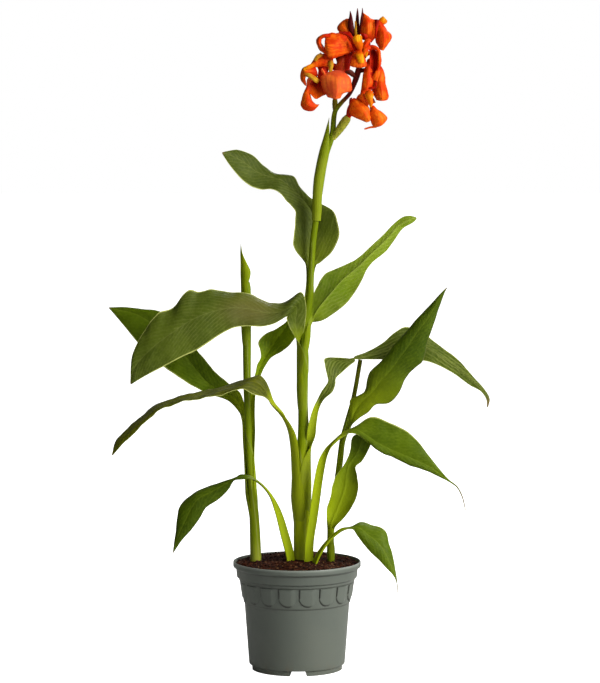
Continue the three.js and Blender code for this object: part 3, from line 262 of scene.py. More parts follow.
BLADES["leaf_short_right"] = [
    [[50, -6, 208], 14, 140, [0.1, 1, 0.1]],
    [[58, -13, 215], [50.5, -9, 218], [44, -13, 225.5]],
    [[72.5, -16, 231], [58, -9, 236], [45, -15, 242.5]],
    [[84.5, -18, 250], [66, -9, 256.5], [49, -16, 259]],
    [[90.5, -18, 272.5], [72, -9, 277.5], [53.5, -16, 278]],
    [[89.5, -17, 290], [74, -9, 293.5], [59.5, -15, 293]],
    [[87, -14, 303.5], [77, -9, 306.5], [68, -12, 304]],
    [[96.5, -12, 312], [84, -9, 316], [74, -10, 314.5]],
    [[106.5, -10, 329.5], [92.5, -8, 331], [79, -6, 328.5]],
    [[109.5, -9, 340.5], [96.5, -7, 342.5], [81.5, -5, 345.5]],
    [[103.5, -7, 353], [98, -6, 353], [90.5, -5, 353]],
    [[100, -6, 356.5], [99.5, -6, 357], [98.5, -6, 356.5]],
]
BLADES["leaf_low_left"] = [
    [[-11, -3, 128], 20, 130, [1, -0.5, 0.1]],
    [[-13.5, -4, 168], 21, 130, [0.8, -0.7, 0.3]],
    [[-21, -5, 201], 19, 130, [0.6, -0.8, 0.5]],
    [[-31, -7, 238], 14, 120, [0.6, -0.8, 0.6]],
    [[-44, -12, 266], 9, 110, [0.7, -0.3, 0.9]],
    [[-65, -18, 286], 8, 70, [0.3, -0.3, 1]],
    [[-82.5, -25, 286], [-79.5, -21, 289.5], [-81.5, -17, 293]],
    [[-93, -26, 284], [-93, -23, 286.5], [-91.5, -19, 288.5]],
    [[-100.5, -27, 272], [-106.5, -25, 278.5], [-109.5, -18, 282.5]],
    [[-115, -29, 257.5], [-125.5, -27, 268.5], [-131.5, -17, 274.5]],
    [[-134, -32, 245], [-146, -30, 257.5], [-155.5, -19, 263.5]],
    [[-143, -35, 230], [-157.5, -33, 241], [-171.5, -22, 249]],
    [[-156, -37, 212.5], [-166.5, -35, 222], [-177, -27, 229]],
    [[-169.5, -38, 197.5], [-174, -37, 205], [-179.5, -32, 207.5]],
    [[-181.5, -38, 179.5], [-182.5, -38, 178.5], [-183, -38, 181]],
]
BLADES["leaf_low_right"] = [
    [[15, -9, 128], 18, 130, [0.5, -0.85, 0.1]],
    [[16.5, -9, 190], 18, 130, [0.5, -0.85, 0.1]],
    [[21.5, -9, 224], 18, 130, [0.5, -0.85, 0.2]],
    [[25.5, -9, 252], 18, 130, [0.5, -0.85, 0.2]],
    [[30, -9, 282], 17, 130, [0.4, -0.85, 0.2]],
    [[37, -10, 311], 14, 130, [0.2, -0.85, 0.4]],
    [[45, -12, 327], 10, 120, [0, -0.7, 0.7]],
    [[53.5, -15, 337.5], 11, 110, [-0.3, -0.3, 0.9]],
    [[70, -17, 351], 15, 110, [-0.4, -0.2, 1]],
    [[87.5, -13, 364.5], [87, -20, 359], [88, -24, 353]],
    [[102, -10, 374], [102, -24, 352], [103.5, -26, 341]],
    [[117, -12, 377.5], [119.5, -28, 340.5], [121, -28, 329]],
    [[139, -16, 368.5], [140, -31, 330.5], [141.5, -30, 319]],
    [[162.5, -21, 357.5], [162, -34, 321.5], [163.5, -33, 309.5]],
    [[178.5, -26, 343], [179.5, -36, 314], [182.5, -35, 303]],
    [[194.5, -31, 322], [197.5, -37, 305.5], [200.5, -36, 295.5]],
    [[210.5, -36, 302.5], [212, -38, 295], [213.5, -38, 289.5]],
    [[223, -39, 288.5], [222.5, -39, 287], [221.5, -39, 285.5]],
    [[236.5, -40, 277.5], [235.5, -40, 277], [235, -40, 276]],
    [[244.5, -41, 261.5], [243.5, -41, 261], [243, -41, 260.5]],
    [[248.5, -41, 243], [248, -41, 242.5], [247.5, -41, 242.5]],
]
BLADES["leaf_base_right"] = [
    [[21, -22, 134], 14, 130, [-0.9, -0.3, 0.4]],
    [[28, -23, 160], 15, 130, [-0.7, -0.4, 0.6]],
    [[38, -23, 180], 14, 130, [-0.6, -0.3, 0.8]],
    [[51, -23, 197], 12, 120, [-0.6, -0.2, 0.9]],
    [[66, -23, 209.5], 10, 90, [-0.3, -0.4, 1]],
    [[81.5, -20, 216], [81.5, -24, 214], [82, -27, 212]],
    [[95, -14, 222], [92.5, -26, 214], [88.5, -29, 203.5]],
    [[111, -15, 217], [105.5, -29, 204], [99, -31, 189.5]],
    [[131, -18, 208.5], [120.5, -32, 192.5], [109.5, -33, 178]],
    [[137.5, -24, 188.5], [130, -34, 178.5], [121, -35, 167.5]],
    [[143, -29, 166.5], [138, -34, 161.5], [131.5, -36, 156]],
    [[146.5, -33, 148], [145, -34, 146], [142.5, -35, 144]],
    [[148.5, -34, 133], [148, -34, 133], [147, -34, 133]],
    [[149.5, -34, 114], [149.5, -34, 113.5], [149, -34, 114]],
]

# The seed head under each bloom and the tube above it, in rows like a shoot's.
SEED_HEADS = {
    "upper_left": [[91, 8, 893, 2.6], [85, 5.5, 899, 4.6], [82, 4.5, 907, 4.2], [82, 3.5, 910, 3]],
    "back": [[88, 9, 921, 2.4], [85, 13, 924, 3], [83, 15, 925, 2.6]],
    "top_right": [[91, 9, 909, 2.4], [96, 10, 915, 3.2], [98, 10, 918, 2.8]],
    "front": [[91, 8, 908, 2.4], [91, 1, 910, 3], [91, -1, 911, 2.6]],
    "right": [[93, 8, 894, 2.4], [96, 7, 902, 3], [98, 7, 905, 2.6]],
    "right_low": [[91, 8, 886, 2.4], [97, 5, 888, 3.2], [99, 4, 888.5, 2.8]],
    "left": [[88, 8, 877, 2.6], [78, 4, 885, 4.2], [71, 2, 887, 3.4]],
    "low_left": [[56, 12, 830, 3.2], [56, 11, 839, 4], [56, 9, 846, 3.4]],
    "low_right": [[53, 12, 788, 4], [63, 7, 802, 6], [72, 3, 815, 6.4], [75.5, 2, 820, 4.8]],
}
TUBES = {
    "upper_left": [[82, 1.5, 915, 3], [82, 0, 919, 4]],
    "back": [[83, 19, 931, 3], [83, 21, 934, 4]],
    "top_right": [[102, 11, 923, 3], [105, 12, 928, 4]],
    "front": [[91, -6, 914, 3], [91, -9, 917, 4]],
    "right": [[102, 5.5, 911, 3], [105, 5, 914, 4]],
    "right_low": [[103, 0, 891, 3], [106, -2, 894, 4]],
    "left": [[57, -2, 892, 5], [46, -5, 897, 4]],
    "low_left": [[49, 1, 864, 3.4], [41, -8, 875, 4]],
    "low_right": [[80, -3, 832, 6], [86, -8, 840, 5]],
}

# Each petal is the name of its finish and then its stations, as for a blade.
PETALS = {}
PETALS["upper_left"] = [
    ["orange",
     [[82.5, 0, 917.5], [81, -3, 923.5], [79.5, 0, 929.5]],
     [[75, -9, 912], [73.5, -12, 923], [72, -7, 938]],
     [[64.5, -15, 909], [63, -20, 923], [61.5, -11, 941]],
     [[54, -18, 904.5], [52.5, -25, 921], [51.5, -12, 942.5]],
     [[45.5, -19, 906], [45.5, -26, 922], [44, -13, 940]],
     [[42, -18, 911.5], [41.5, -23, 923.5], [41.5, -14, 936]],
     [[41.5, -18, 920], [41, -19, 925], [41.5, -16, 930]]],
    ["orange",
     [[50, -16, 933], [49, -18, 937.5], [48.5, -15, 941.5]],
     [[41, -17, 934.5], [39.5, -21, 937.5], [38, -16, 940]],
     [[36.5, -14, 933], [33, -20, 934], [30.5, -13, 935.5]],
     [[36, -12, 928], [32, -19, 927.5], [28, -11, 928.5]],
     [[38, -12, 924], [34.5, -19, 921.5], [31, -11, 920.5]],
     [[42, -15, 920], [40.5, -20, 915.5], [37.5, -13, 913.5]],
     [[47, -18, 917], [47, -21, 911], [47, -17, 907]]],
    ["orange",
     [[82, 3, 921], 8, 90, [0, 0.8, 0.4]],
     [[72, 13, 930], 22, 40, [0, 1, 0.3]],
     [[59, 20, 930], 26, 10, [-0.1, 1, 0.2]],
     [[47, 22, 923], 16, -20, [-0.3, 1, -0.2]],
     [[43, 20, 915], 5, 0, [-0.4, 1, -0.3]]],
    ["deep",
     [[82.5, -2, 913], [75, -4, 914.5], [67.5, -2, 911.5]],
     [[80.5, -5, 906], [74, -9, 905.5], [66, -5, 906]],
     [[79, -7, 897], [74, -11, 897], [67.5, -7, 897]],
     [[77, -8, 888], [73.5, -10, 887.5], [70.5, -8, 888]]],
    ["brown",
     [[72, -4, 910], [64.5, -7, 910], [56.5, -4, 906.5]],
     [[70.5, -8, 901.5], [64, -12, 900], [58, -8, 898.5]],
     [[70.5, -10, 892.5], [63, -14, 891], [55, -10, 891]],
     [[69, -11, 885], [63, -13, 883.5], [57, -11, 884.5]]],
    ["deep",
     [[69, -6, 940.5], [76, -8, 936.5], [83, -6, 929]],
     [[63, -2, 942], [72, -3, 941.5], [81.5, -2, 938]],
     [[60.5, 2, 943.5], [69, 2, 944.5], [78, 2, 944]]],
]
PETALS["back"] = [
    ["straw",
     [[84.5, 5, 937], [86.5, 4, 936.5], [88, 5, 937]],
     [[84.5, 5, 950], [86.5, 4, 950], [88, 5, 950]],
     [[85, 6, 960], [86, 5.5, 960], [87, 6, 960]]],
    ["orange",
     [[76.5, 8, 932.5], [79.5, 8, 935.5], [82.5, 8, 938.5]],
     [[65, 12, 942], [72, 8, 947], [81.5, 12, 948.5]],
     [[59.5, 15, 947.5], [66.5, 10, 953], [80.5, 15, 957.5]],
     [[60.5, 17, 954], [67, 13, 958], [78, 16, 963.5]],
     [[64, 18, 958.5], [68, 16, 961], [73.5, 17, 964]],
     [[68.5, 18, 962], [70, 17.5, 962.5], [72, 18, 963.5]]],
    ["orange",
     [[83, 24, 936], 8, 90, [0, -0.6, 0.7]],
     [[77, 34, 944], 18, 40, [0, -0.4, 0.9]],
     [[71, 46, 946], 16, 0, [0, 0.2, 1]],
     [[68, 54, 940], 6, -10, [-0.2, 0.6, 0.8]]],
    ["orange",
     [[84, 24, 936], 8, 90, [-0.2, -0.5, 0.8]],
     [[93, 33, 944], 17, 40, [-0.1, -0.3, 0.9]],
     [[102, 43, 944], 15, 0, [0.2, 0.2, 1]],
     [[107, 50, 938], 5, -10, [0.3, 0.5, 0.8]]],
]
PETALS["top_right"] = [
    ["orange",
     [[98.5, 4, 932.5], [104.5, 2, 930], [111.5, 4, 931]],
     [[93.5, 2, 941], [104, -5, 941], [115, 2, 941]],
     [[93, 2, 950], [104, -7, 950], [115.5, 3, 951.5]],
     [[94.5, 4, 960], [103.5, -4, 960], [115, 5, 961]],
     [[96, 6, 967.5], [101.5, 1, 966], [108.5, 5, 964]],
     [[97, 7, 972.5], [98, 6, 971.5], [100, 7, 970.5]]],
    ["orange",
     [[123.5, 6, 959], [119, 2, 961], [113.5, 4, 962]],
     [[131, 5, 949], [123, -4, 951], [115, 3, 952]],
     [[138, 5, 940.5], [127.5, -8, 940.5], [114.5, 3, 942]],
     [[139, 4, 935], [127.5, -8, 931.5], [115.5, 2, 931.5]],
     [[133, 3, 925], [126, -5, 923.5], [118, 2, 924]],
     [[127, 2, 917], [124.5, -1, 917], [121.5, 1, 918.5]]],
    ["deep",
     [[121, -1, 961.5], [117, -3, 962], [113.5, -1, 962]],
     [[119.5, -5, 952.5], [116.5, -7, 952.5], [114.5, -4, 952.5]],
     [[117.5, -6, 943.5], [115.5, -8, 943.5], [114, -5, 943.5]],
     [[115.5, -4, 935], [114.5, -4.5, 935], [114, -4, 935]]],
    ["orange",
     [[106, 15, 930], 8, 100, [0.2, 0.9, 0.3]],
     [[109, 24, 943], 20, 40, [0.2, 1, 0.2]],
     [[114, 32, 954], 18, 0, [0.3, 1, -0.1]],
     [[119, 38, 956], 8, -20, [0.3, 1, -0.4]]],
    ["deep",
     [[105.5, -1, 930.5], [100, -3, 931.5], [94, -1, 933.5]],
     [[104, -5, 935.5], [99, -7, 937], [94, -5, 939.5]],
     [[102.5, -6, 940.5], [98, -7, 941.5], [94, -6, 942]]],
    ["orange",
     [[113.5, -8, 921.5], [112, -9, 923], [110, -8, 925]],
     [[107, -12, 918.5], [104.5, -14, 921], [102.5, -12, 923]],
     [[102, -14, 914.5], [99.5, -16, 916.5], [97.5, -14, 918.5]],
     [[99.5, -14, 908.5], [97.5, -15, 910], [95, -14, 911.5]]],
]
PETALS["front"] = [
    ["orange",
     [[100.5, -10, 916], [96.5, -12, 916], [93, -10, 915]],
     [[104, -13, 923], [99.5, -16, 924.5], [95, -13, 925]],
     [[107.5, -13, 929], [104, -15, 931], [100.5, -13, 932.5]],
     [[108.5, -12, 932.5], [107, -12.5, 933], [105.5, -12, 934]]],
    ["deep",
     [[86.5, -11, 913], [89.5, -12, 915], [92.5, -11, 916.5]],
     [[81.5, -15, 920], [85, -17, 923], [88.5, -15, 925]],
     [[79, -16, 927.5], [82.5, -17, 929.5], [85.5, -16, 931]],
     [[78.5, -15, 932.5], [80, -15.5, 933], [82, -15, 933.5]]],
    ["orange",
     [[95, -16, 917], [90.5, -18, 917], [86.5, -16, 917]],
     [[97.5, -22, 909.5], [90, -26, 909.5], [82.5, -22, 910.5]],
     [[101, -25, 901], [89, -29, 901], [79, -25, 901.5]],
     [[102.5, -24, 893.5], [89, -28, 893], [77, -25, 894]],
     [[96.5, -24, 892], [89, -25, 891.5], [82, -24.5, 892]]],
]
PETALS["right"] = [
    ["deep",
     [[113.5, -6, 919.5], [111, -4, 920.5], [108, -6, 919.5]],
     [[119, -9, 910], [113, -3, 909], [106.5, -8, 908.5]],
     [[120, -10, 900], [114, -3, 898.5], [106.5, -8, 898.5]],
     [[119.5, -10, 889.5], [114, -4, 888.5], [107, -9, 888]],
     [[116, -10, 881], [112.5, -7, 879.5], [108.5, -10, 880]],
     [[113.5, -10, 875], [112.5, -10, 875], [111.5, -10, 875]]],
    ["orange",
     [[102.5, -8, 921.5], [105, -10, 919], [106.5, -8, 915]],
     [[108.5, -10, 924.5], [110.5, -13, 921.5], [111.5, -10, 918]],
     [[115.5, -10, 923.5], [116, -14, 920], [116, -11, 916.5]],
     [[121.5, -10, 917.5], [120, -14, 914.5], [118, -11, 911.5]],
     [[123.5, -10, 907], [121, -14, 906.5], [118.5, -12, 905.5]],
     [[123, -10, 897], [120.5, -14, 897], [118, -12, 897]],
     [[120.5, -10, 889.5], [119, -12, 889], [117.5, -11, 889]]],
    ["orange",
     [[122.5, -7, 892.5], [120, -9, 892], [116.5, -8, 889.5]],
     [[123, -8, 885.5], [117, -12, 884], [111.5, -9, 881.5]],
     [[120.5, -8, 878], [116, -11, 876.5], [109.5, -8, 877]],
     [[116, -7, 872.5], [113.5, -8, 872], [111, -7, 872.5]]],
    ["orange",
     [[108.5, 0, 906], [105.5, -3, 905], [103, 0, 903]],
     [[109.5, -4, 894], [105, -8, 894], [100.5, -4, 894]],
     [[111, -6, 882.5], [104, -11, 882.5], [97, -6, 882.5]],
     [[111.5, -8, 870.5], [103.5, -13, 870.5], [95.5, -8, 870.5]],
     [[109.5, -8, 860.5], [102, -13, 859.5], [94, -8, 860]],
     [[105.5, -8, 851.5], [99.5, -11, 850], [93, -8, 851]],
     [[100, -7, 845], [97, -8, 844.5], [94, -7, 846]]],
    ["orange",
     [[106, 8, 915], 8, 90, [0.2, 0.5, 0.9]],
     [[114, 20, 914], 16, 40, [0.3, 0.4, 0.8]],
     [[120, 30, 902], 20, 10, [0.8, 0.3, 0.3]],
     [[120, 32, 886], 15, -10, [0.9, 0.2, 0.1]],
     [[118, 30, 874], 5, 0, [0.9, 0.2, 0]]],
]
PETALS["right_low"] = [
    ["orange",
     [[124.5, 14, 894], [122, 12, 893], [119.5, 14, 891.5]],
     [[128.5, 10, 885.5], [122, 5, 884], [115.5, 10, 883]],
     [[130, 8, 874], [122, 0, 872.5], [113.5, 7, 871]],
     [[132, 6, 862], [123.5, -4, 860.5], [112, 5, 860.5]],
     [[135.5, 6, 850.5], [125, -5, 849.5], [113.5, 4, 850.5]],
     [[132.5, 7, 845], [125, -1, 843], [116.5, 5, 844.5]]],
    ["orange",
     [[118.5, -2, 882.5], [114.5, -4, 881], [111.5, -2, 878]],
     [[119, -4, 875], [115, -7, 873.5], [110.5, -4, 872]],
     [[117.5, -5, 867], [115, -7, 866.5], [112.5, -5, 865.5]],
     [[116, -4, 863.5], [115, -4.5, 863.5], [114.5, -4, 863.5]]],
    ["deep",
     [[118, -8, 872], [115, -9, 873], [111.5, -8, 873]],
     [[117.5, -8, 868], [115.5, -9, 868], [113.5, -8, 868.5]],
     [[116.5, -8, 863], [116, -8.5, 863], [115, -8, 863]]],
    ["deep",
     [[116, -9, 864], [116, -10, 863], [116, -9, 861.5]],
     [[110, -11, 864], [110, -13, 862], [110, -11, 860]],
     [[104.5, -12, 863], [105, -13, 861.5], [105.5, -12, 860.5]]],
    ["orange",
     [[106, 1, 892], 7, 60, [0.2, 0.8, 0.3]],
     [[105, 11, 882], 13, 40, [0.1, 1, 0.3]],
     [[111, 17, 871], 15, 10, [0.4, 1, 0.1]],
     [[115, 18, 857], 6, 0, [0.4, 1, 0]]],
]
PETALS["left"] = [
    ["orange",
     [[54.5, -6, 894], [53, -9, 901.5], [53, -6, 908]],
     [[45, -8, 891], [43.5, -13, 900.5], [41, -7, 912.5]],
     [[34.5, -10, 892], [32.5, -15, 900.5], [28.5, -8, 907]],
     [[26.5, -12, 892], [23.5, -15, 896], [21.5, -10, 898.5]],
     [[19, -13, 889.5], [17.5, -14, 891.5], [16.5, -12, 893.5]]],
    ["straw",
     [[39, -13, 909], [36.5, -14, 911.5], [35, -13, 913.5]],
     [[32.5, -15, 905], [30, -17, 907.5], [28.5, -15, 909.5]],
     [[28, -14, 900.5], [26, -15, 902], [24, -14, 903.5]]],
    ["straw",
     [[53, -13, 902.5], [49, -15, 902.5], [45.5, -13, 901]],
     [[53.5, -15, 894], [50, -18, 894], [46, -15, 892.5]],
     [[51.5, -15, 885.5], [49, -16, 885], [47, -15, 885.5]]],
    ["orange",
     [[44, -2, 897], 8, 90, [-0.2, 0.7, 0.7]],
     [[34, 6, 903], 15, 40, [-0.3, 0.8, 0.6]],
     [[26, 13, 897], 12, 0, [-0.4, 0.9, 0.3]],
     [[19, 17, 890], 6, -20, [-0.6, 0.9, 0]]],
    ["deep",
     [[47, -6, 897], [38, -8, 897.5], [29.5, -6, 894]],
     [[46, -10, 888], [38, -14, 888], [31, -10, 887.5]],
     [[43.5, -12, 879.5], [37.5, -15, 878.5], [31, -12, 879.5]],
     [[39.5, -12, 872], [35, -13, 870.5], [30, -12, 872]]],
    ["coral",
     [[37.5, -18, 890.5], [36, -19, 889.5], [34.5, -18, 888.5]],
     [[41, -19, 885], [39, -20.5, 884.5], [37, -19, 884]],
     [[42.5, -18, 880], [41.5, -18.5, 879.5], [40.5, -18, 879.5]]],
]
PETALS["low_left"] = [
    ["coral",
     [[67.5, -14, 886.5], [57, -14, 887.5], [45.5, -14, 885]],
     [[77, -20, 878], [58.5, -29, 879], [35, -20, 878]],
     [[80, -22, 867], [58.5, -35, 867.5], [36, -22, 866]],
     [[78.5, -22, 857.5], [58.5, -36, 856.5], [40, -22, 856]],
     [[67.5, -22, 853], [57, -33, 850], [44.5, -23, 849]],
     [[63, -24, 847], [56.5, -29, 845.5], [50, -25, 846.5]]],
    ["orange",
     [[31, -10, 879.5], [29.5, -14, 886], [26.5, -10, 894]],
     [[21.5, -14, 878], [19, -19, 886], [17, -13, 893.5]],
     [[13.5, -15, 878.5], [12, -20, 885], [9.5, -13, 892]],
     [[12.5, -14, 877], [9.5, -18, 879.5], [5.5, -11, 884.5]],
     [[12.5, -13, 873.5], [9.5, -16, 873.5], [5, -10, 874.5]],
     [[13.5, -12, 869], [11.5, -14, 869], [9, -11, 868.5]],
     [[13.5, -12, 865.5], [13, -12.5, 865], [12, -12, 865.5]]],
    ["orange",
     [[17.5, -12, 865], [15.5, -13, 865], [14, -12, 864]],
     [[18.5, -15, 856.5], [14.5, -18, 856], [10, -15, 855.5]],
     [[21, -17, 848], [14.5, -22, 846.5], [7, -16, 846]],
     [[23.5, -18, 841.5], [16, -24, 837.5], [5.5, -17, 836.5]],
     [[27, -18, 839], [21.5, -22, 833.5], [11, -17, 829.5]],
     [[30, -17, 838], [27, -19, 834], [23, -16, 828.5]],
     [[33, -16, 838], [31.5, -17, 836], [29.5, -16, 833.5]]],
    ["throat",
     [[37, -8, 872], [29.5, -3, 873.5], [20, -8, 872]],
     [[41, -14, 862], [29.5, -9, 862], [17, -14, 862]],
     [[44, -19, 854], [30, -16, 853], [18, -18, 854.5]],
     [[38, -20, 850.5], [30, -20, 848], [23, -20, 849]],
     [[31, -20, 846.5], [28.5, -20, 845.5], [25.5, -20, 846.5]]],
    ["orange",
     [[39, -5, 875], 8, 90, [0.2, -0.2, 1]],
     [[30, 6, 878], 18, 40, [0, 0.1, 1]],
     [[21, 14, 874], 18, 0, [-0.3, 0.3, 1]],
     [[16, 18, 862], 7, -10, [-0.7, 0.7, 0.5]]],
]
PETALS["low_right"] = [
    ["amber",
     [[83.5, -14, 847.5], [80.5, -16, 845.5], [77.5, -14, 843]],
     [[92, -20, 844.5], [85, -25, 838], [76.5, -20, 832]],
     [[101, -25, 838.5], [91.5, -31, 830.5], [78.5, -24, 822]],
     [[106.5, -27, 829.5], [98, -33, 824], [89, -26, 817]],
     [[107.5, -27, 820], [102.5, -31, 817.5], [96.5, -26, 813.5]],
     [[107, -26, 813.5], [105, -27, 812.5], [101.5, -26, 811.5]]],
    ["amber",
     [[112, -20, 836.5], [109, -22, 835.5], [106.5, -20, 833.5]],
     [[118.5, -23, 830.5], [113.5, -28, 828], [107, -24, 826]],
     [[127, -25, 824.5], [118.5, -31, 820], [107, -25, 818]],
     [[132, -25, 817.5], [120.5, -31, 813.5], [108.5, -25, 812]],
     [[127.5, -24, 809.5], [120, -28, 808], [110.5, -25, 806.5]],
     [[120, -24, 805.5], [117, -25, 805], [113.5, -24, 804.5]]],
    ["orange",
     [[118, -24, 807], [117, -25, 805.5], [116.5, -24, 804]],
     [[108.5, -24, 806], [108, -25, 804.5], [107.5, -24, 803]],
     [[102.5, -24, 804.5], [102, -25, 803], [102, -24, 801.5]],
     [[98.5, -24, 803], [98.5, -24.5, 802], [99, -24, 801]]],
    ["deep",
     [[81, -13, 848], [79, -15, 847.5], [77, -13, 846]],
     [[79, -17, 837], [77.5, -19, 837], [76, -16, 837]],
     [[81.5, -19, 827.5], [77.5, -22, 827.5], [75, -18, 828.5]],
     [[83, -19, 821.5], [79, -21, 821], [75.5, -18, 822]]],
    ["amber",
     [[99, -18, 856.5], [96, -20, 856.5], [93, -18, 855]],
     [[102.5, -22, 847], [96.5, -27, 847], [90.5, -22, 847]],
     [[105, -24, 839], [100, -28, 840], [95, -24, 842]],
     [[104, -24, 834.5], [102.5, -25, 835], [100.5, -24, 836.5]]],
    ["orange",
     [[87, -5, 840], 7, 90, [-0.3, -0.6, 0.7]],
     [[96, 2, 850], 13, 50, [0.2, -0.3, 1]],
     [[106, 8, 849], 16, 20, [0.2, 0.1, 1]],
     [[114, 12, 840], 7, 0, [0.7, 0.7, 0.3]]],
]
HEARTS = {}
HEARTS["top_right"] = [
    ["yellow",
     [[119, 10, 959.5], [122, 9, 956.5], [126, 10, 953.5]],
     [[122, 10, 964.5], [126.5, 7, 961.5], [132, 10, 957.5]],
     [[126.5, 10, 967.5], [129.5, 8.5, 964.5], [133, 10, 960.5]]],
]
HEARTS["front"] = [
    ["yellow",
     [[90, -17, 915.5], [92, -18, 915.5], [94.5, -17, 915.5]],
     [[85.5, -21, 923], [90.5, -24, 924], [96.5, -21, 924.5]],
     [[81, -25, 931.5], [87.5, -29, 931], [95.5, -24, 932]],
     [[81.5, -27, 935.5], [87.5, -30, 937], [94.5, -26, 937]],
     [[84.5, -27, 938.5], [88.5, -28, 939], [92, -27, 938.5]]],
    ["yellow",
     [[94, -23, 915.5], [91.5, -24, 915.5], [88.5, -23, 915.5]],
     [[97, -28, 909.5], [92, -31, 909.5], [85.5, -28, 909.5]],
     [[98, -30, 903.5], [92.5, -33, 903.5], [87.5, -30, 903.5]],
     [[98, -30, 898.5], [93.5, -31.5, 897.5], [89.5, -30, 899.5]]],
]
HEARTS["right"] = [
    ["yellow",
     [[105, -12, 917.5], [103, -13, 918.5], [101, -12, 919.5]],
     [[104, -12, 911.5], [102, -13, 912], [100, -12, 913]],
     [[102, -11, 906.5], [101, -11.5, 906.5], [100, -11, 907]]],
]
HEARTS["left"] = [
    ["yellow",
     [[29.5, -17, 894.5], [28, -18, 897.5], [27, -17, 900]],
     [[20, -19, 890], [17.5, -20.5, 892.5], [16, -19, 895]],
     [[11, -19, 886.5], [10, -20, 888.5], [9, -19, 890.5]]],
]
HEARTS["low_left"] = [
    ["straw",
     [[11, -21, 884.5], [11, -22, 881.5], [11.5, -21, 879]],
     [[19, -22, 883], [19, -24, 879], [19, -22, 876]],
     [[27, -20, 878.5], [26.5, -22, 875], [25, -20, 871]],
     [[34, -15, 873], [32, -16, 871], [30, -15, 868.5]]],
]
HEARTS["low_right"] = [
    ["yellow",
     [[110.5, -26, 857], [106, -28, 858.5], [101, -26, 857]],
     [[112, -29, 851.5], [106, -33, 850.5], [99.5, -29, 850.5]],
     [[110.5, -30, 845], [106.5, -34, 844], [102, -30, 844]],
     [[111.5, -30, 840], [108, -33, 839], [104, -30, 839]],
     [[109, -29, 834.5], [108, -30, 833.5], [106.5, -29, 834.5]]],
]


BUDS = {
    "bud_left": [
        [85, 9, 935.9, 1.5], [80, 8, 949, 4.2], [79, 8, 959, 3.8], [79, 8, 968, 2], [78, 8, 975, 0.4],
    ],
    "bud_middle": [
        [88, 12.2, 935.6, 1.5], [89, 13, 947, 2.8], [89, 13, 962, 2.6], [89, 13, 972, 1.6],
        [89, 13, 979, 0.4],
    ],
    "bud_right": [
        [89.5, 8, 936, 1.3], [93, 3, 947, 2.2], [95, 2.5, 962, 2], [96, 2.5, 972, 1.2], [96, 3, 979, 0.4],
    ],
}
# A leaf's upper and under finish, how far back from its tip it has dried, and how much of a stalk's
# colour runs on into the foot of its blade and how far.
LEAF_SIDES = {
    "leaf_big_left": ("olive", "bright", 3, 0, 60),
    "leaf_mid_left": ("sheen", "pale", 3, 0, 60),
    "leaf_arching_right": ("striped", "deep", 16, 0, 60),
    "leaf_upper_right": ("light", "light", 0, 0.3, 60),
    "leaf_top_left": ("olive", "pale", 3, 0.35, 60),
    "flower_sheath": ("sheath", "sheath", 0, 0, 60),
    "leaf_far_left": ("fresh", "pale", 3, 0.6, 60),
    "leaf_back_left": ("bright", "bright", 3, 0, 60),
    "leaf_rolled": ("fresh", "bright", 0, 0, 60),
    "leaf_upright_right": ("deep", "fresh", 5, 0.7, 140),
    "leaf_short_right": ("fresh", "fresh", 3, 0.85, 150),
    "leaf_low_left": ("deep", "pale", 3, 0, 60),
    "leaf_low_right": ("fresh", "pale", 42, 0.15, 60),
    "leaf_base_right": ("fresh", "fresh", 26, 0, 60),
}

# The outside of the pot from its foot to its lip and the inside down to the floor: radius and height.
POT_OUTSIDE = [
    (68, 0), (68, 6.5), (71.4, 8.2), (78.2, 99.5), (79.6, 101), (84, 131), (86.2, 133), (86.2, 136.5),
    (89.6, 138.2), (90.6, 150.5), (95, 153.5), (95, 161),
]
POT_INSIDE = [(92.4, 161), (92.2, 153.5), (88.6, 150), (87.8, 139.5), (84, 136), (76.8, 101), (69.6, 10.6)]
# The height of the floor and of its under side, the inside radius of the foot ring, and the radius of the
# small gap at the axis that the fill closes.
POT_FLOOR = 10.6
POT_FLOOR_UNDER = 8
FOOT_RING = 65
AXIS_GAP = 0.6


# ------------------------------------------------------------------ numbers and curves
def paint(*screen):
    """A colour given as 0 to 255 on a screen, as the shaders' linear values."""
    def linear(share):
        return share / 12.92 if share <= 0.04045 else ((share + 0.055) / 1.055) ** 2.4
    return (*(linear(value / 255) for value in screen), 1.0)


def unit(vectors):
    return vectors / np.maximum(np.linalg.norm(vectors, axis=-1, keepdims=True), 1e-12)


def smooth(value, low, high):
    share = np.clip((value - low) / (high - low), 0, 1)
    return share * share * (3 - 2 * share)


def curve_at(rows, marks):
    """Rows whose first three numbers are a place, read at row numbers along a smooth curve through them."""
    last = len(rows) - 1
    marks = np.atleast_1d(np.asarray(marks, float))
    start = np.clip(np.floor(marks).astype(int), 0, last - 1)
    u = np.clip(marks - start, 0, 1)[:, None]
    a, b, c, d = (rows[np.clip(start + shift, 0, last)] for shift in (-1, 0, 1, 2))
    span = [np.linalg.norm((q - p)[:, :3], axis=1)[:, None] for p, q in ((a, b), (b, c), (c, d))]
    leaving = span[1] / (span[0] + span[1])
    arriving = span[1] / (span[1] + span[2])
    step = c - b
    out = leaving * (c - a)
    into = arriving * (d - b)
    return b + u * (out + u * (3 * step - 2 * out - into + u * (out + into - 2 * step)))


def even_marks(rows, step):
    """Row numbers about one step apart along the curve, and the length of the curve up to each."""
    fine = np.linspace(0, len(rows) - 1, 40 * (len(rows) - 1) + 1)
    places = curve_at(rows, fine)[:, :3]
    run = np.concatenate([[0], np.cumsum(np.linalg.norm(np.diff(places, axis=0), axis=1))])
    lengths = np.linspace(0, run[-1], max(3, round(run[-1] / step)) + 1)
    return np.interp(lengths, run, fine), lengths


# ------------------------------------------------------------------ mesh tools
def deselect_all():
    bpy.ops.object.select_all(action="DESELECT")


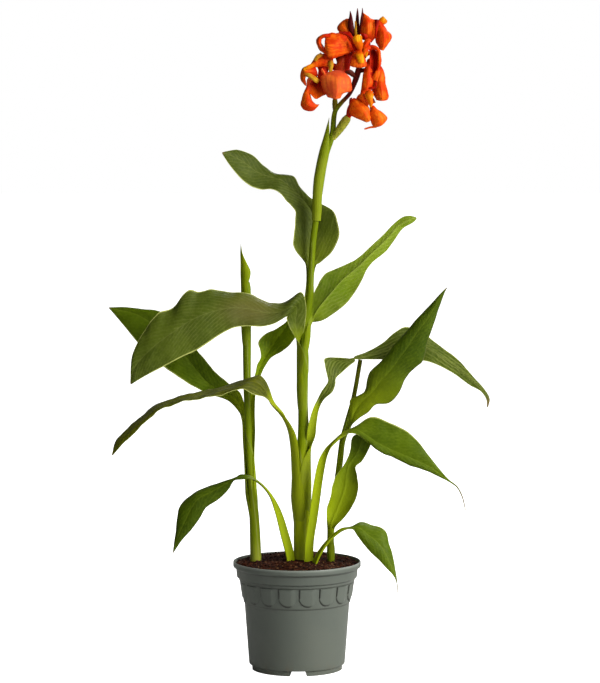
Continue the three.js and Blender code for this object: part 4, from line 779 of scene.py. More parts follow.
def bent_grid(name, rings, uv, shape, crease, side=None):
    """A closed body: a grid primitive bent through rings of points, its seam merged and its ends filled.

    rings is rows x columns x 3 in millimetres, with each ring's first point again at its end. uv and
    shape, three values for the materials to read, have the same rows and columns. Edges sharper than
    crease, in degrees, stay sharp, and side gives each column its material.
    """
    count, columns = rings.shape[:2]
    deselect_all()
    bpy.ops.mesh.primitive_grid_add(x_subdivisions=columns - 1, y_subdivisions=count - 1, size=2)
    piece = bpy.context.object
    piece.name = name
    mesh = piece.data
    mesh.name = name
    flat = np.empty(len(mesh.vertices) * 3)
    mesh.vertices.foreach_get("co", flat)
    flat = flat.reshape(-1, 3)
    column = np.rint((flat[:, 0] + 1) / 2 * (columns - 1)).astype(int)
    row = np.rint((flat[:, 1] + 1) / 2 * (count - 1)).astype(int)
    mesh.vertices.foreach_set("co", (rings[row, column] * MM).ravel())
    corner = np.empty(len(mesh.loops), int)
    mesh.loops.foreach_get("vertex_index", corner)
    layer = mesh.uv_layers.active
    layer.name = "surface"
    layer.data.foreach_set("uv", uv[row[corner], column[corner]].ravel())
    tint = mesh.color_attributes.new(name="shape", type="FLOAT_COLOR", domain="POINT")
    tint.data.foreach_set("color", np.c_[shape[row, column], np.ones(len(row))].ravel())
    if side is not None:
        first = column[corner].reshape(-1, 4).min(axis=1)
        mesh.polygons.foreach_set("material_index", np.asarray(side)[first])
    bpy.ops.object.mode_set(mode="EDIT")
    bpy.ops.mesh.select_all(action="SELECT")
    bpy.ops.mesh.remove_doubles(threshold=1e-6)
    bpy.ops.mesh.fill_holes(sides=0)
    bpy.ops.mesh.normals_make_consistent(inside=False)
    bpy.ops.object.mode_set(mode="OBJECT")
    bpy.ops.object.shade_smooth_by_angle(angle=math.radians(crease))
    return piece


def joined(name, pieces):
    """Joins pieces into the first of them, which gets this name."""
    deselect_all()
    for piece in pieces:
        piece.select_set(True)
    bpy.context.view_layer.objects.active = pieces[0]
    if len(pieces) > 1:
        bpy.ops.object.join()
    pieces[0].name = name
    pieces[0].data.name = name
    return pieces[0]


def painted(piece, *materials):
    """The piece with these materials instead of its own, where any are given."""
    if materials:
        piece.data.materials.clear()
    for material in materials:
        piece.data.materials.append(material)
    return piece


def finished(piece, nodes, slot, *materials):
    """Gives a piece its materials, parents it to the root body and hides the CAD nodes that it stands for."""
    painted(piece, *materials)
    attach(piece, "root")
    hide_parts(*nodes)
    return piece


# ------------------------------------------------------------------ blades and stems
def cross_section(station, along, t):
    """Points across a blade at one of its stations, for t from -1 at the left edge to 1 at the right."""
    t = t[:, None]
    if len(station) == 3:
        left, middle, right = (np.array(place, float) for place in station)
        folded = np.where(t > 0, t * (right - middle), -t * (left - middle))
        rounded = t * (right - left) / 2 + t * t * ((left + right) / 2 - middle)
        return middle + FOLD * folded + (1 - FOLD) * rounded
    place, width, curl, face = station
    face = unit(np.array(face, float) - np.dot(face, along) * along)
    curl = math.radians(curl if abs(curl) > 1 else 1)
    radius = width / curl
    sideways = radius * np.sin(t * curl / 2) * np.cross(along, face)
    return np.array(place, float) + sideways + radius * (1 - np.cos(t * curl / 2)) * face


def spread(stations, look):
    """A blade's surface as a grid of places, with t across it, row numbers, length along it and tone."""
    middles = np.array([station[1 if len(station) == 3 else 0] for station in stations], float)
    numbers = np.arange(len(middles))
    along = unit(curve_at(middles, numbers + 0.05) - curve_at(middles, numbers - 0.05))
    width = max(np.linalg.norm(np.subtract(station[2], station[0])) if len(station) == 3 else station[1]
                for station in stations)
    half = min(max(round(width / 2 / look["strip"]), look["fewest"]), look["most"])
    even = np.linspace(-1, 1, 2 * half + 1)
    t = np.sign(even) * (0.5 * smooth(np.abs(even), 0, 1) + 0.5 * np.abs(even))
    tone = [1 if len(station) == 3 else float(smooth(-abs(station[2]), -STALK_CURL, -BLADE_CURL))
            for station in stations]
    rows = [[*middle, shade, *cross_section(station, way, t).ravel()]
            for middle, shade, station, way in zip(middles, tone, stations, along)]
    marks, length = even_marks(middles, look["step"])
    read = curve_at(np.array(rows), marks)
    point = read[:, 4:].reshape(len(marks), len(t), 3)
    return point, t[None, :], marks, length[:, None], np.clip(read[:, 3:4], 0, 1) * np.ones(len(t))


def surface_lift(look, t, run, out, grown, phase, pitch):
    """How far a blade's surface rises: the waves of its edges, a pillow each side, dents and ribs."""
    side = np.abs(t)
    right, left = (2 * math.pi * run / length for length in pitch)
    swing = np.where(t > 0, np.sin(right + phase[0]), np.sin(left + phase[1]))
    quick = np.where(t > 0, np.sin(2.65 * right + phase[2]), np.sin(2.35 * left + phase[3]))
    waves = look["wave"] * side ** 2.3 * (swing + 0.35 * quick)
    pillow = look["pillow"] * np.sin(math.pi * side)
    along, across = run / look["dent"], out / look["dent"]
    dents = np.sin(along + phase[5]) * np.sin(1.3 * across + phase[6])
    dents = dents + np.sin(1.9 * along + across + phase[7])
    broad = np.minimum(1, (out[:, -1:] - out[:, :1]) / look["wave_width"])
    if look["petal"]:
        rib = np.cos(7 * math.pi * t + 0.4 * np.sin(run / 9 + phase[4]))
    else:
        vein = run - VEIN_SLANT * np.abs(out) - VEIN_BEND * MM * out ** 2 + 1.2 * np.sin(run / 23 + phase[4])
        turn = 2 * math.pi * vein / look["rib_pitch"]
        rib = np.cos(turn) + 1.2 * np.cos(turn / 3.3)
    rib = look["rib"] * rib * smooth(np.abs(out), 1.5, 5) * smooth(1 - side, 0, 0.15)
    return grown * (broad * (waves + pillow + look["dents"] * dents) + rib)


def blade(name, stations, look, seed, dry_tip=0, sheath_rows=0):
    """A leaf or petal through its stations, the first of which are its sheath's.

    look holds its thickness at the edge and in the middle, the midrib's height, the waves of its edge
    and the ribs of its surface, all in millimetres. A leaf's second material is its underside.
    """
    draw = random.Random(seed)
    phase = [draw.uniform(0, 2 * math.pi) for _ in range(8)]
    pitch = [look["wave_length"] * draw.uniform(0.8, 1.25) for _ in range(2)]
    point, t, marks, run, tone = spread(stations, look)
    side = np.abs(t)
    end = run[-1, 0]
    if look["petal"]:
        tone = run / end * np.ones_like(t)
    strips = np.linalg.norm(np.diff(point, axis=1), axis=2)
    out = np.concatenate([0 * strips[:, :1], np.cumsum(strips, axis=1)], axis=1)
    out = out - out[:, t.shape[1] // 2][:, None]
    normal = unit(np.cross(np.gradient(point, axis=1), np.gradient(point, axis=0)))
    grown = smooth(run, 0, 0.25 * end) if look["petal"] else tone
    ridge = look["midrib"] * np.exp(-(out / look["midrib_width"]) ** 2) * (1 - 0.8 * run / end) * grown
    lift = surface_lift(look, t, run, out, grown, phase, pitch) - 0.45 * ridge
    middle = look["middle"] + (look["stalk"] - look["middle"]) * (1 - grown)
    thick = look["edge"] + (middle - look["edge"]) * (1 - side ** 1.8)
    if sheath_rows:
        wrapped = 1 - smooth(marks, 0.6 * sheath_rows, sheath_rows + 1)[:, None]
        start = smooth(marks, 0, 1.2)[:, None]
        skin = SHEATH_FOOT + SHEATH_THICKNESS * start * (1 - 0.6 * side ** 3)
        thick = thick * (1 - wrapped) + wrapped * skin
    thick = thick * (TIP_SHARE + (1 - TIP_SHARE) * smooth(end - run, 0, TIP_TAPER))
    high = lift + thick / 2
    if sheath_rows:
        inner = look["middle"] / 2
        high = wrapped * inner + (1 - wrapped) * high
        lift = wrapped * (inner - thick / 2) + (1 - wrapped) * lift
    upper = point + normal * high[..., None]
    under = point + normal * (lift - thick / 2 - ridge)[..., None]
    rings = np.concatenate([upper, under[:, ::-1], upper[:, :1]], axis=1)
    flat = np.stack([run * np.ones_like(t), out], axis=-1) * MM
    dried = np.zeros_like(tone)
    if dry_tip:
        dried = smooth(run, end - 1.3 * dry_tip, end - 0.3 * dry_tip) * np.ones_like(t)
    if sheath_rows:
        dried = dried - (1 - smooth(marks, sheath_rows - 0.5, sheath_rows + 1.5)[:, None])
    if not look["petal"]:
        first = run[np.argmax(tone[:, 0] > 0.5), 0]
        tone = tone * (1 - look["pale_foot"] * (1 - smooth(run, first, first + look["pale_reach"])))
    shape = np.stack([tone, side * np.ones_like(tone), dried], axis=-1)
    both = [np.concatenate([grid, grid[:, ::-1], grid[:, :1]], axis=1) for grid in (flat, shape)]
    columns = t.shape[1]
    sides = [0] * (columns - 1) + [0 if look["petal"] else 1] * (columns + 1)
    return bent_grid(name, rings, *both, BLADE_CREASE, sides)


def stem(name, rows, sides, step, relief=None, ripe=None):
    """A round stem through rows of x, y, z, radius.

    relief(angle, place) gives how far its surface rises and where pale rims show, and ripe(height) how far it
    has turned to the colour of the ripe seed heads, which on the right shoot's top is painted shade.
    """
    rows = np.array(rows, float)
    marks, length = even_marks(rows, step)
    read = curve_at(rows, marks)
    along = unit(curve_at(rows, marks + 0.05)[:, :3] - curve_at(rows, marks - 0.05)[:, :3])
    across = unit(np.cross(np.array([0.0, 1.0, 0.0]) + 0 * along, along))
    up = np.cross(along, across)
    angle = np.linspace(0, 2 * math.pi, sides + 1)[None, :]
    radius = np.maximum(read[:, 3], 0.05)[:, None] * np.ones_like(angle)
    rim = 0
    if relief:
        lift, rim = relief(angle, read[:, None, :3] * np.ones_like(angle)[..., None])
        radius = radius + lift
    ring = across[:, None] * np.cos(angle)[..., None] + up[:, None] * np.sin(angle)[..., None]
    rings = read[:, None, :3] + ring * radius[..., None]
    rings[:, -1] = rings[:, 0]
    run = length[:, None] * np.ones_like(angle)
    uv = np.stack([run, angle * radius.mean(axis=1)[:, None]], axis=-1) * MM
    red = (ripe(read[:, 2]) if ripe else np.zeros(len(read)))[:, None] * np.ones_like(angle)
    shape = np.stack([red, angle / (2 * math.pi) + 0 * run, rim + 0 * run], axis=-1)
    return bent_grid(name, rings, uv, shape, STEM_CREASE)


# ------------------------------------------------------------------ looks of blades
# The veins run from the midrib to the edge at this slant, and bend towards the tip by this much a metre.
VEIN_SLANT = 2.0
VEIN_BEND = 12.0
LEAF_LOOK = {
    "petal": False, "step": 2.2, "strip": 1.7, "fewest": 8, "most": 26,
    "edge": 0.35, "middle": 0.8, "stalk": 2.6, "midrib": 0.9, "midrib_width": 1.4,
    "wave": 0.9, "wave_length": 47, "wave_width": 50, "rib": 0.13, "rib_pitch": 12,
    "pillow": 1.8, "dent": 14, "dents": 0.35,
}
PETAL_LOOK = {
    "petal": True, "step": 1.1, "strip": 0.9, "fewest": 5, "most": 22,
    "edge": 0.3, "middle": 0.5, "stalk": 0.9, "midrib": 0.2, "midrib_width": 0.8,
    "wave": 0.3, "wave_length": 14, "wave_width": 16, "rib": 0.12,
    "pillow": 0.35, "dent": 6, "dents": 0.2,
}
# Edges sharper than this, in degrees, stay sharp.
BLADE_CREASE = 60
STEM_CREASE = 50
# How sharply a blade folds along its midrib: 0 is a smooth curve, 1 is a crease.
FOLD = 0.45
# How much of its thickness a blade has left at its tip, and from how far back it thins.
TIP_SHARE = 0.35
TIP_TAPER = 14
# An arc curled by more than the first angle has a stalk's colour, and by less than the second a blade's.
STALK_CURL = 105
BLADE_CURL = 45
# Where a sheath's stations are, from its low end (0) to its high end (1), and how far the first ones, which
# start it inside the shoot, are from the shoot's surface.
SHEATH_MARKS = ((-0.5, -0.9), (-0.15, 0.1), (0.35, None), (0.7, None), (1, None))
# How much of its wrap a sheath loses at its high end, how far it stands off its shoot, how many strips the
# solid's sheath has, and how thick a sheath is at its foot and how much thicker above it.
SHEATH_OPENING = 0.3
SHEATH_SLACK = 0.95
SHEATH_STRIPS = 6
SHEATH_FOOT = 0.25
SHEATH_THICKNESS = 1.1


def shoot_at(rows, height):
    """A shoot's x, y, z and radius at this height."""
    rows = np.array(rows, float)
    return np.array([np.interp(height, rows[:, 2], rows[:, n]) for n in range(4)])


def sheath_stations(shoot, low, high, azimuth, wrap, stand_off):
    """The stations of a leaf's sheath, which rises out of its shoot and opens upward."""
    x_way, y_way = math.cos(math.radians(azimuth)), math.sin(math.radians(azimuth))
    stations = []
    for mark, inset in SHEATH_MARKS:
        x, y, z, radius = shoot_at(SHOOTS[shoot], low + mark * (high - low))
        curl = math.radians(wrap) * (1 - SHEATH_OPENING * max(mark, 0) ** 2)
        if inset is None:
            reach = (radius + SHEATH_SLACK) / math.cos(curl / SHEATH_STRIPS / 2) + stand_off
        else:
            reach = radius + inset
        place = [x + reach * x_way, y + reach * y_way, z]
        stations.append([place, reach * curl, math.degrees(curl), [-x_way, -y_way, 0]])
    return stations


# ------------------------------------------------------------------ material kit
def feed(tree, value, socket):
    """Joins a socket to another socket, or sets its own value."""
    if isinstance(value, bpy.types.NodeSocket):
        tree.links.new(value, socket)
    else:
        socket.default_value = value


def maths(tree, operation, first, second=0.0, third=0.0):
    made = tree.nodes.new("ShaderNodeMath")
    made.operation = operation
    for value, socket in zip((first, second, third), made.inputs):
        feed(tree, value, socket)
    return made.outputs[0]


def times(tree, first, second):
    return maths(tree, "MULTIPLY", first, second)


def ramp(tree, value, low, high, bottom=0.0, top=1.0):
    made = tree.nodes.new("ShaderNodeMapRange")
    made.interpolation_type = "SMOOTHSTEP"
    for given, socket in zip((value, low, high, bottom, top), made.inputs):
        feed(tree, given, socket)
    return made.outputs[0]


def blend(tree, share, first, second):
    made = tree.nodes.new("ShaderNodeMix")
    made.data_type = "RGBA"
    feed(tree, share, made.inputs[0])
    feed(tree, first, made.inputs[6])
    feed(tree, second, made.inputs[7])
    return made.outputs[2]


def grain(tree, place, scale, detail=3.0, rough=0.55):
    made = tree.nodes.new("ShaderNodeTexNoise")
    feed(tree, place, made.inputs["Vector"])
    feed(tree, scale, made.inputs["Scale"])
    made.inputs["Detail"].default_value = detail
    made.inputs["Roughness"].default_value = rough
    return made.outputs["Fac"]


def object_place(tree, stretch=(1, 1, 1)):
    """Object coordinates, scaled along each axis."""
    place = tree.nodes.new("ShaderNodeTexCoord").outputs["Object"]
    if stretch == (1, 1, 1):
        return place
    made = tree.nodes.new("ShaderNodeMapping")
    made.inputs["Scale"].default_value = stretch
    tree.links.new(place, made.inputs["Vector"])
    return made.outputs[0]


def axes(tree, place):
    """The three numbers of a place."""
    split = tree.nodes.new("ShaderNodeSeparateXYZ")
    tree.links.new(place, split.inputs[0])
    return split.outputs[:3]


def surface_place(tree):
    """Where a point is on a blade or stem, in metres along it and across it, from its UV map."""
    made = tree.nodes.new("ShaderNodeUVMap")
    made.uv_map = "surface"
    return made.outputs[0]


def shape_values(tree):
    """The three values of a piece's shape attribute: on a leaf tone, nearness to the edge and dryness."""
    made = tree.nodes.new("ShaderNodeAttribute")
    made.attribute_name = "shape"
    split = tree.nodes.new("ShaderNodeSeparateColor")
    tree.links.new(made.outputs["Color"], split.inputs[0])
    return split.outputs[:3]


def new_group(name, inputs, outputs):
    """An empty node group with named inputs (name, kind, default) and outputs (name, kind)."""
    tree = bpy.data.node_groups.new(name, "ShaderNodeTree")
    for label, kind, default in inputs:
        socket = tree.interface.new_socket(name=label, in_out="INPUT", socket_type="NodeSocket" + kind)
        socket.default_value = default
    for label, kind in outputs:
        tree.interface.new_socket(name=label, in_out="OUTPUT", socket_type="NodeSocket" + kind)
    given = tree.nodes.new("NodeGroupInput")
    result = tree.nodes.new("NodeGroupOutput")
    return tree, given.outputs, result.inputs


GREY = (0.5, 0.5, 0.5, 1.0)
# The middle of the bronze zone on the largest leaf, in the group's stretched coordinates.
BRONZE_ZONE = (-0.042, -0.006, 0.537)


def leaf_group():
    """The colour, roughness and relief of a leaf: oblique veins, a pale midrib, a pale edge, a dry tip."""
    if "Leaf surface" in bpy.data.node_groups:
        return bpy.data.node_groups["Leaf surface"]
    colours = [(label, "Color", GREY) for label in ("Blade", "Shade", "Vein", "Stalk", "Foot", "Edge", "Dry")]
    tree, given, result = new_group(
        "Leaf surface",
        colours + [("Vein strength", "Float", 0.3), ("Stripes", "Float", 0.0), ("Bronze", "Float", 0.0)],
        [("Color", "Color"), ("Roughness", "Float"), ("Height", "Float")])
    place = surface_place(tree)
    along, across, _ = axes(tree, place)
    tone, edge, dry = shape_values(tree)
    body = object_place(tree)
    out = maths(tree, "ABSOLUTE", across)
    lag = times(tree, out, maths(tree, "MULTIPLY_ADD", out, VEIN_BEND, VEIN_SLANT))
    warp = times(tree, grain(tree, place, 26.0, 2.0), 0.007)
    line = maths(tree, "ADD", maths(tree, "SUBTRACT", along, lag), warp)

    def lines(coordinate, pitch, sharp):
        wave = maths(tree, "SINE", times(tree, coordinate, 2 * math.pi / pitch))
        return maths(tree, "POWER", maths(tree, "MULTIPLY_ADD", wave, 0.5, 0.5), sharp)

    main = lines(line, 0.012, 6.0)
    fine = lines(line, 0.0034, 2.5)
    ribs = lines(across, 0.0021, 2.0)
    patches = ramp(tree, grain(tree, body, 15.0, 4.0, 0.6), 0.35, 0.65)
    colour = blend(tree, patches, given["Blade"], given["Shade"])
    specks = ramp(tree, grain(tree, body, 260.0, 2.0, 0.6), 0.4, 0.75, 0.0, 0.16)
    colour = blend(tree, specks, colour, given["Vein"])
    faint = ramp(tree, grain(tree, body, 24.0, 3.0), 0.3, 0.7, 0.25, 1.0)
    veins = times(tree, maths(tree, "MULTIPLY_ADD", fine, 0.35, times(tree, main, 0.8)), faint)
    colour = blend(tree, times(tree, veins, given["Vein strength"]), colour, given["Vein"])
    stripes = times(tree, lines(maths(tree, "ADD", across, warp), 0.0052, 3.0), faint)
    colour = blend(tree, times(tree, stripes, given["Stripes"]), colour, given["Vein"])
    away = tree.nodes.new("ShaderNodeVectorMath")
    away.operation = "DISTANCE"
    tree.links.new(object_place(tree, (0.6, 0.3, 1)), away.inputs[0])
    away.inputs[1].default_value = BRONZE_ZONE
    zone = times(tree, ramp(tree, away.outputs["Value"], 0.04, 0.004, 0.0, 0.42), given["Bronze"])
    colour = blend(tree, zone, colour, paint(112, 98, 52))
    colour = blend(tree, times(tree, ramp(tree, out, 0.0014, 0.0004), 0.26), colour, given["Vein"])
    stalk = blend(tree, times(tree, dry, -1.0), given["Stalk"], given["Foot"])
    stalk = blend(tree, times(tree, ribs, 0.2), stalk, given["Shade"])
    stalk = blend(tree, times(tree, patches, 0.25), stalk, given["Vein"])
    colour = blend(tree, tone, stalk, colour)
    margin = times(tree, ramp(tree, edge, 0.945, 0.975), times(tree, tone, 0.95))
    colour = blend(tree, margin, colour, given["Edge"])
    dry = maths(tree, "MAXIMUM", dry, 0.0)
    tree.links.new(blend(tree, dry, colour, given["Dry"]), result["Color"])
    gloss = maths(tree, "MULTIPLY_ADD", grain(tree, body, 90.0, 3.0), 0.16, 0.36)
    tree.links.new(maths(tree, "MULTIPLY_ADD", dry, 0.3, gloss), result["Roughness"])
    relief = times(tree, maths(tree, "MULTIPLY_ADD", fine, 0.55, times(tree, main, 0.45)), tone)
    low = times(tree, ribs, maths(tree, "SUBTRACT", 1.0, tone))
    tree.links.new(maths(tree, "MULTIPLY_ADD", low, 0.6, relief), result["Height"])
    return tree


def petal_group():
    """The colour and relief of a petal: a throat colour that fans out along fine streaks."""
    if "Petal surface" in bpy.data.node_groups:
        return bpy.data.node_groups["Petal surface"]
    colours = [(label, "Color", GREY) for label in ("Petal", "Blush", "Throat", "Rim")]
    tree, given, result = new_group(
        "Petal surface", colours + [("Throat reach", "Float", 0.3)],
        [("Color", "Color"), ("Height", "Float")])
    share, edge, _ = shape_values(tree)
    stretched = tree.nodes.new("ShaderNodeMapping")
    stretched.inputs["Scale"].default_value = (40, 340, 1)
    tree.links.new(surface_place(tree), stretched.inputs["Vector"])
    streak = grain(tree, stretched.outputs[0], 1.0, 3.0, 0.6)
    mottle = ramp(tree, grain(tree, object_place(tree), 60.0, 4.0, 0.6), 0.4, 0.62)
    colour = blend(tree, mottle, given["Petal"], given["Blush"])
    colour = blend(tree, times(tree, ramp(tree, streak, 0.42, 0.62), 0.8), colour, given["Blush"])
    reach = maths(tree, "SUBTRACT", maths(tree, "MULTIPLY_ADD", streak, 0.35, share), 0.17)
    inside = ramp(tree, reach, times(tree, given["Throat reach"], 1.6), 0.02)
    colour = blend(tree, inside, colour, given["Throat"])
    rim = times(tree, ramp(tree, edge, 0.72, 0.99), 0.75)
    tree.links.new(blend(tree, rim, colour, given["Rim"]), result["Color"])
    tree.links.new(streak, result["Height"])
    return tree


def mottle_group():
    """Uneven colour and a grainy relief over any body."""
    if "Mottle" in bpy.data.node_groups:
        return bpy.data.node_groups["Mottle"]
    tree, given, result = new_group(
        "Mottle",
        [("Main", "Color", GREY), ("Patch", "Color", GREY), ("Patch size", "Float", 20.0),
         ("Grain size", "Float", 600.0), ("Strength", "Float", 0.5)],
        [("Color", "Color"), ("Height", "Float")])
    body = object_place(tree)
    patch = ramp(tree, grain(tree, body, given["Patch size"], 5.0, 0.5), 0.35, 0.68)
    share = times(tree, patch, given["Strength"])
    tree.links.new(blend(tree, share, given["Main"], given["Patch"]), result["Color"])
    tree.links.new(grain(tree, body, given["Grain size"], 2.0, 0.5), result["Height"])
    return tree


def new_material(name):
    """A material with its Principled shader, and its node tree."""
    material = bpy.data.materials.new(name)
    material.use_nodes = True
    tree = material.node_tree
    return material, tree, tree.nodes["Principled BSDF"]


def use_group(tree, group, **values):
    made = tree.nodes.new("ShaderNodeGroup")
    made.node_tree = group
    for label, value in values.items():
        feed(tree, value, made.inputs[label.replace("_", " ")])
    return made.outputs


def set_surface(tree, shader, colour, roughness, shine, height, depth):
    """Gives a Principled shader its colour, roughness, specular level and a relief of this depth."""
    feed(tree, colour, shader.inputs["Base Color"])
    feed(tree, roughness, shader.inputs["Roughness"])
    shader.inputs["Specular IOR Level"].default_value = shine
    bump = tree.nodes.new("ShaderNodeBump")
    bump.inputs["Distance"].default_value = depth
    bump.inputs["Strength"].default_value = 1.0
    tree.links.new(height, bump.inputs["Height"])
    tree.links.new(bump.outputs[0], shader.inputs["Normal"])


# Blade, darker patches, veins, how strongly the veins and the long stripes show, for each finish of a leaf.
LEAF_FINISHES = {
    "deep": (paint(68, 88, 4), paint(50, 70, 2), paint(112, 130, 30), 0.2, 0.1),
    "olive": (paint(76, 90, 16), paint(60, 74, 8), paint(120, 128, 62), 0.42, 0.06),
    "sheen": (paint(82, 88, 4), paint(62, 70, 1), paint(140, 138, 44), 0.1, 0.3),
    "fresh": (paint(84, 106, 4), paint(66, 88, 2), paint(130, 148, 40), 0.24, 0.1),
    # The bright and light finishes are partly painted light: lighter copies of the leaf green that lift the
    # back left and upper right leaves, which lie in shade.
    "bright": (paint(120, 146, 2), paint(96, 122, 1), paint(166, 182, 40), 0.25, 0.1),
    "light": (paint(118, 142, 20), paint(94, 120, 8), paint(166, 178, 92), 0.36, 0.15),
    "sheath": (paint(112, 124, 8), paint(94, 108, 4), paint(158, 164, 60), 0.05, 0.3),
    "striped": (paint(74, 90, 10), paint(56, 72, 4), paint(146, 154, 76), 0.2, 0.5),
    "pale": (paint(108, 120, 32), paint(88, 102, 16), paint(156, 162, 80), 0.36, 0.2),
}
# The finishes whose sheath has the lighter colour of a stalk, partly painted light that lifts sheaths lying
# in the leaves' shade.
PALE_AND_LIT_SHEATHS = ("sheen", "striped", "pale")


def leaf_finish(name):
    """The material of one side of a leaf."""
    if "leaf_" + name in bpy.data.materials:
        return bpy.data.materials["leaf_" + name]
    colours = bpy.context.scene.canna_colours
    blade_colour, shade, vein, strength, stripes = LEAF_FINISHES[name]
    foot = colours.stalk if name in PALE_AND_LIT_SHEATHS else colours.stem_foot
    stalk = colours.stem_foot if name == "sheath" else colours.stalk
    edge = colours.dark_edge if name == "deep" else colours.leaf_edge
    material, tree, shader = new_material("leaf_" + name)
    made = use_group(tree, leaf_group(), Blade=blade_colour, Shade=shade, Vein=vein, Vein_strength=strength,
                     Stripes=stripes, Bronze=1.0 if name == "olive" else 0.0, Stalk=(*stalk, 1),
                     Foot=(*foot, 1), Edge=(*edge, 1), Dry=(*colours.dry, 1))
    set_surface(tree, shader, made["Color"], made["Roughness"], 0.09, made["Height"], 0.00022)
    return material


def petal_material(name, petal, blush, throat, rim, reach):
    if name in bpy.data.materials:
        return bpy.data.materials[name]
    material, tree, shader = new_material(name)
    made = use_group(tree, petal_group(), Petal=petal, Blush=blush, Throat=throat, Rim=rim,
                     Throat_reach=reach)
    set_surface(tree, shader, made["Color"], 0.48, 0.06, made["Height"], 0.0005)
    return material


# Petal, blush, throat and rim, and how far the throat reaches, for each finish of a petal.
PETAL_FINISHES = {
    "orange": (paint(236, 102, 14), paint(206, 52, 3), paint(190, 32, 2), paint(190, 40, 2), 0.2),
    "amber": (paint(246, 122, 20), paint(222, 74, 8), paint(198, 40, 2), paint(204, 54, 4), 0.2),
    "coral": (paint(242, 116, 42), paint(226, 84, 40), paint(222, 84, 56), paint(206, 58, 24), 0.15),
    # The deep finish is partly painted shade: dark red petals set inside the blooms where shade falls,
    # besides the flower's own red.
    "deep": (paint(192, 30, 4), paint(150, 12, 2), paint(104, 4, 4), paint(210, 50, 6), 0.3),
    "brown": (paint(180, 62, 12), paint(150, 28, 6), paint(96, 10, 4), paint(150, 34, 6), 0.35),
    "throat": (paint(230, 100, 6), paint(210, 70, 4), paint(150, 8, 2), paint(200, 60, 4), 0.62),
    "yellow": (paint(236, 168, 8), paint(228, 104, 4), paint(208, 70, 4), paint(220, 90, 6), 0.35),
    "straw": (paint(206, 168, 44), paint(182, 112, 16), paint(160, 80, 12), paint(190, 120, 26), 0.2),
}


def petal_finish(name):
    """The material of a petal, with the panel's colours for the plain orange and yellow ones."""
    colours = bpy.context.scene.canna_colours
    petal, *others = PETAL_FINISHES[name]
    chosen = {"orange": (*colours.petal, 1), "yellow": (*colours.heart, 1)}
    return petal_material("petal_" + name, chosen.get(name, petal), *others)


def stem_material(name, foot_colour, top_colour):
    """A shoot's skin: from a foot to a top colour, with fine ribs, pale sheath rims and ripe seed heads,
    whose dark colour is also painted shade on the right shoot's top.
    """
    colours = bpy.context.scene.canna_colours
    material, tree, shader = new_material(name)
    _, across, _ = axes(tree, surface_place(tree))
    _, _, height = axes(tree, object_place(tree))
    ripe, _, rim = shape_values(tree)
    body = object_place(tree, (1, 1, 0.12))
    colour = blend(tree, ramp(tree, height, 0.23, 0.37), (*foot_colour, 1), (*top_colour, 1))
    streaks = ramp(tree, grain(tree, body, 130.0, 3.0), 0.4, 0.7, 0.0, 0.45)
    colour = blend(tree, streaks, colour, paint(86, 106, 2))
    colour = blend(tree, ramp(tree, height, 0.2, 0.158, 0.0, 0.5), colour, paint(180, 186, 70))
    colour = blend(tree, times(tree, rim, 0.45), colour, (*colours.leaf_edge, 1))
    colour = blend(tree, ripe, colour, (*colours.ripe, 1))
    ribs = maths(tree, "SINE", times(tree, across, 2 * math.pi / 0.0022))
    relief = maths(tree, "MULTIPLY_ADD", grain(tree, body, 400.0), 0.8, ribs)
    set_surface(tree, shader, colour, 0.42, 0.1, relief, 0.00008)
    return material


# ------------------------------------------------------------------ sizes and colours
class CannaSizes(bpy.types.PropertyGroup):
    scallops: bpy.props.IntProperty(name="Scallops", description="Rounded panels round the pot", default=17)
    scallop_rise: bpy.props.FloatProperty(
        name="Scallop rise", description="How far a panel stands out", default=0.0014, unit="LENGTH")
    soil_edge: bpy.props.FloatProperty(
        name="Soil edge", description="Height of the soil at the rim", default=0.1575, unit="LENGTH")
    soil_crown: bpy.props.FloatProperty(
        name="Soil crown", description="Height of the soil in the middle", default=0.162, unit="LENGTH")
    crumbs: bpy.props.IntProperty(name="Crumbs", description="Loose crumbs on the soil", default=1500)


def colour_property(name, description, default):
    return bpy.props.FloatVectorProperty(
        name=name, description=description, subtype="COLOR", size=3, min=0, max=1, default=default[:3])


class CannaColours(bpy.types.PropertyGroup):
    pot: colour_property("Pot", "Moulded plastic of the pot", paint(91, 98, 91))
    soil: colour_property("Soil", "Damp potting soil", paint(52, 19, 5))
    stalk: colour_property("Stalk", "Leaf stalks and the foot of the shoots", paint(152, 168, 8))
    stem_top: colour_property("Upper stem", "The stem that carries the flowers", paint(112, 130, 2))
    stem_foot: colour_property("Lower stem", "The lower part of the shoots", paint(120, 136, 2))
    # Partly the shoot's own pale base and partly painted light that lifts the middle shoot's foot where the
    # leaves shade it.
    stem_core_pale_and_lit: colour_property("Middle stem", "The lower part of the middle shoot", paint(182, 196, 8))
    pod: colour_property("Seed pod", "The swelling under the lowest bloom", paint(186, 184, 60))
    ripe: colour_property("Seed heads", "The dark seed heads", paint(88, 16, 10))
    leaf_edge: colour_property("Leaf edge", "The thin pale line round a leaf", paint(182, 188, 104))
    dark_edge: colour_property("Dark leaf edge", "The thin line round the darkest leaves", paint(86, 92, 44))
    dry: colour_property("Dry tip", "The dried tips of old leaves", paint(116, 100, 58))
    petal: colour_property("Petal", "The outer petals", paint(240, 108, 16))
    heart: colour_property("Inner petal", "The yellow inner petals", paint(236, 168, 8))
    bud: colour_property("Bud", "The unopened buds", paint(78, 12, 14))


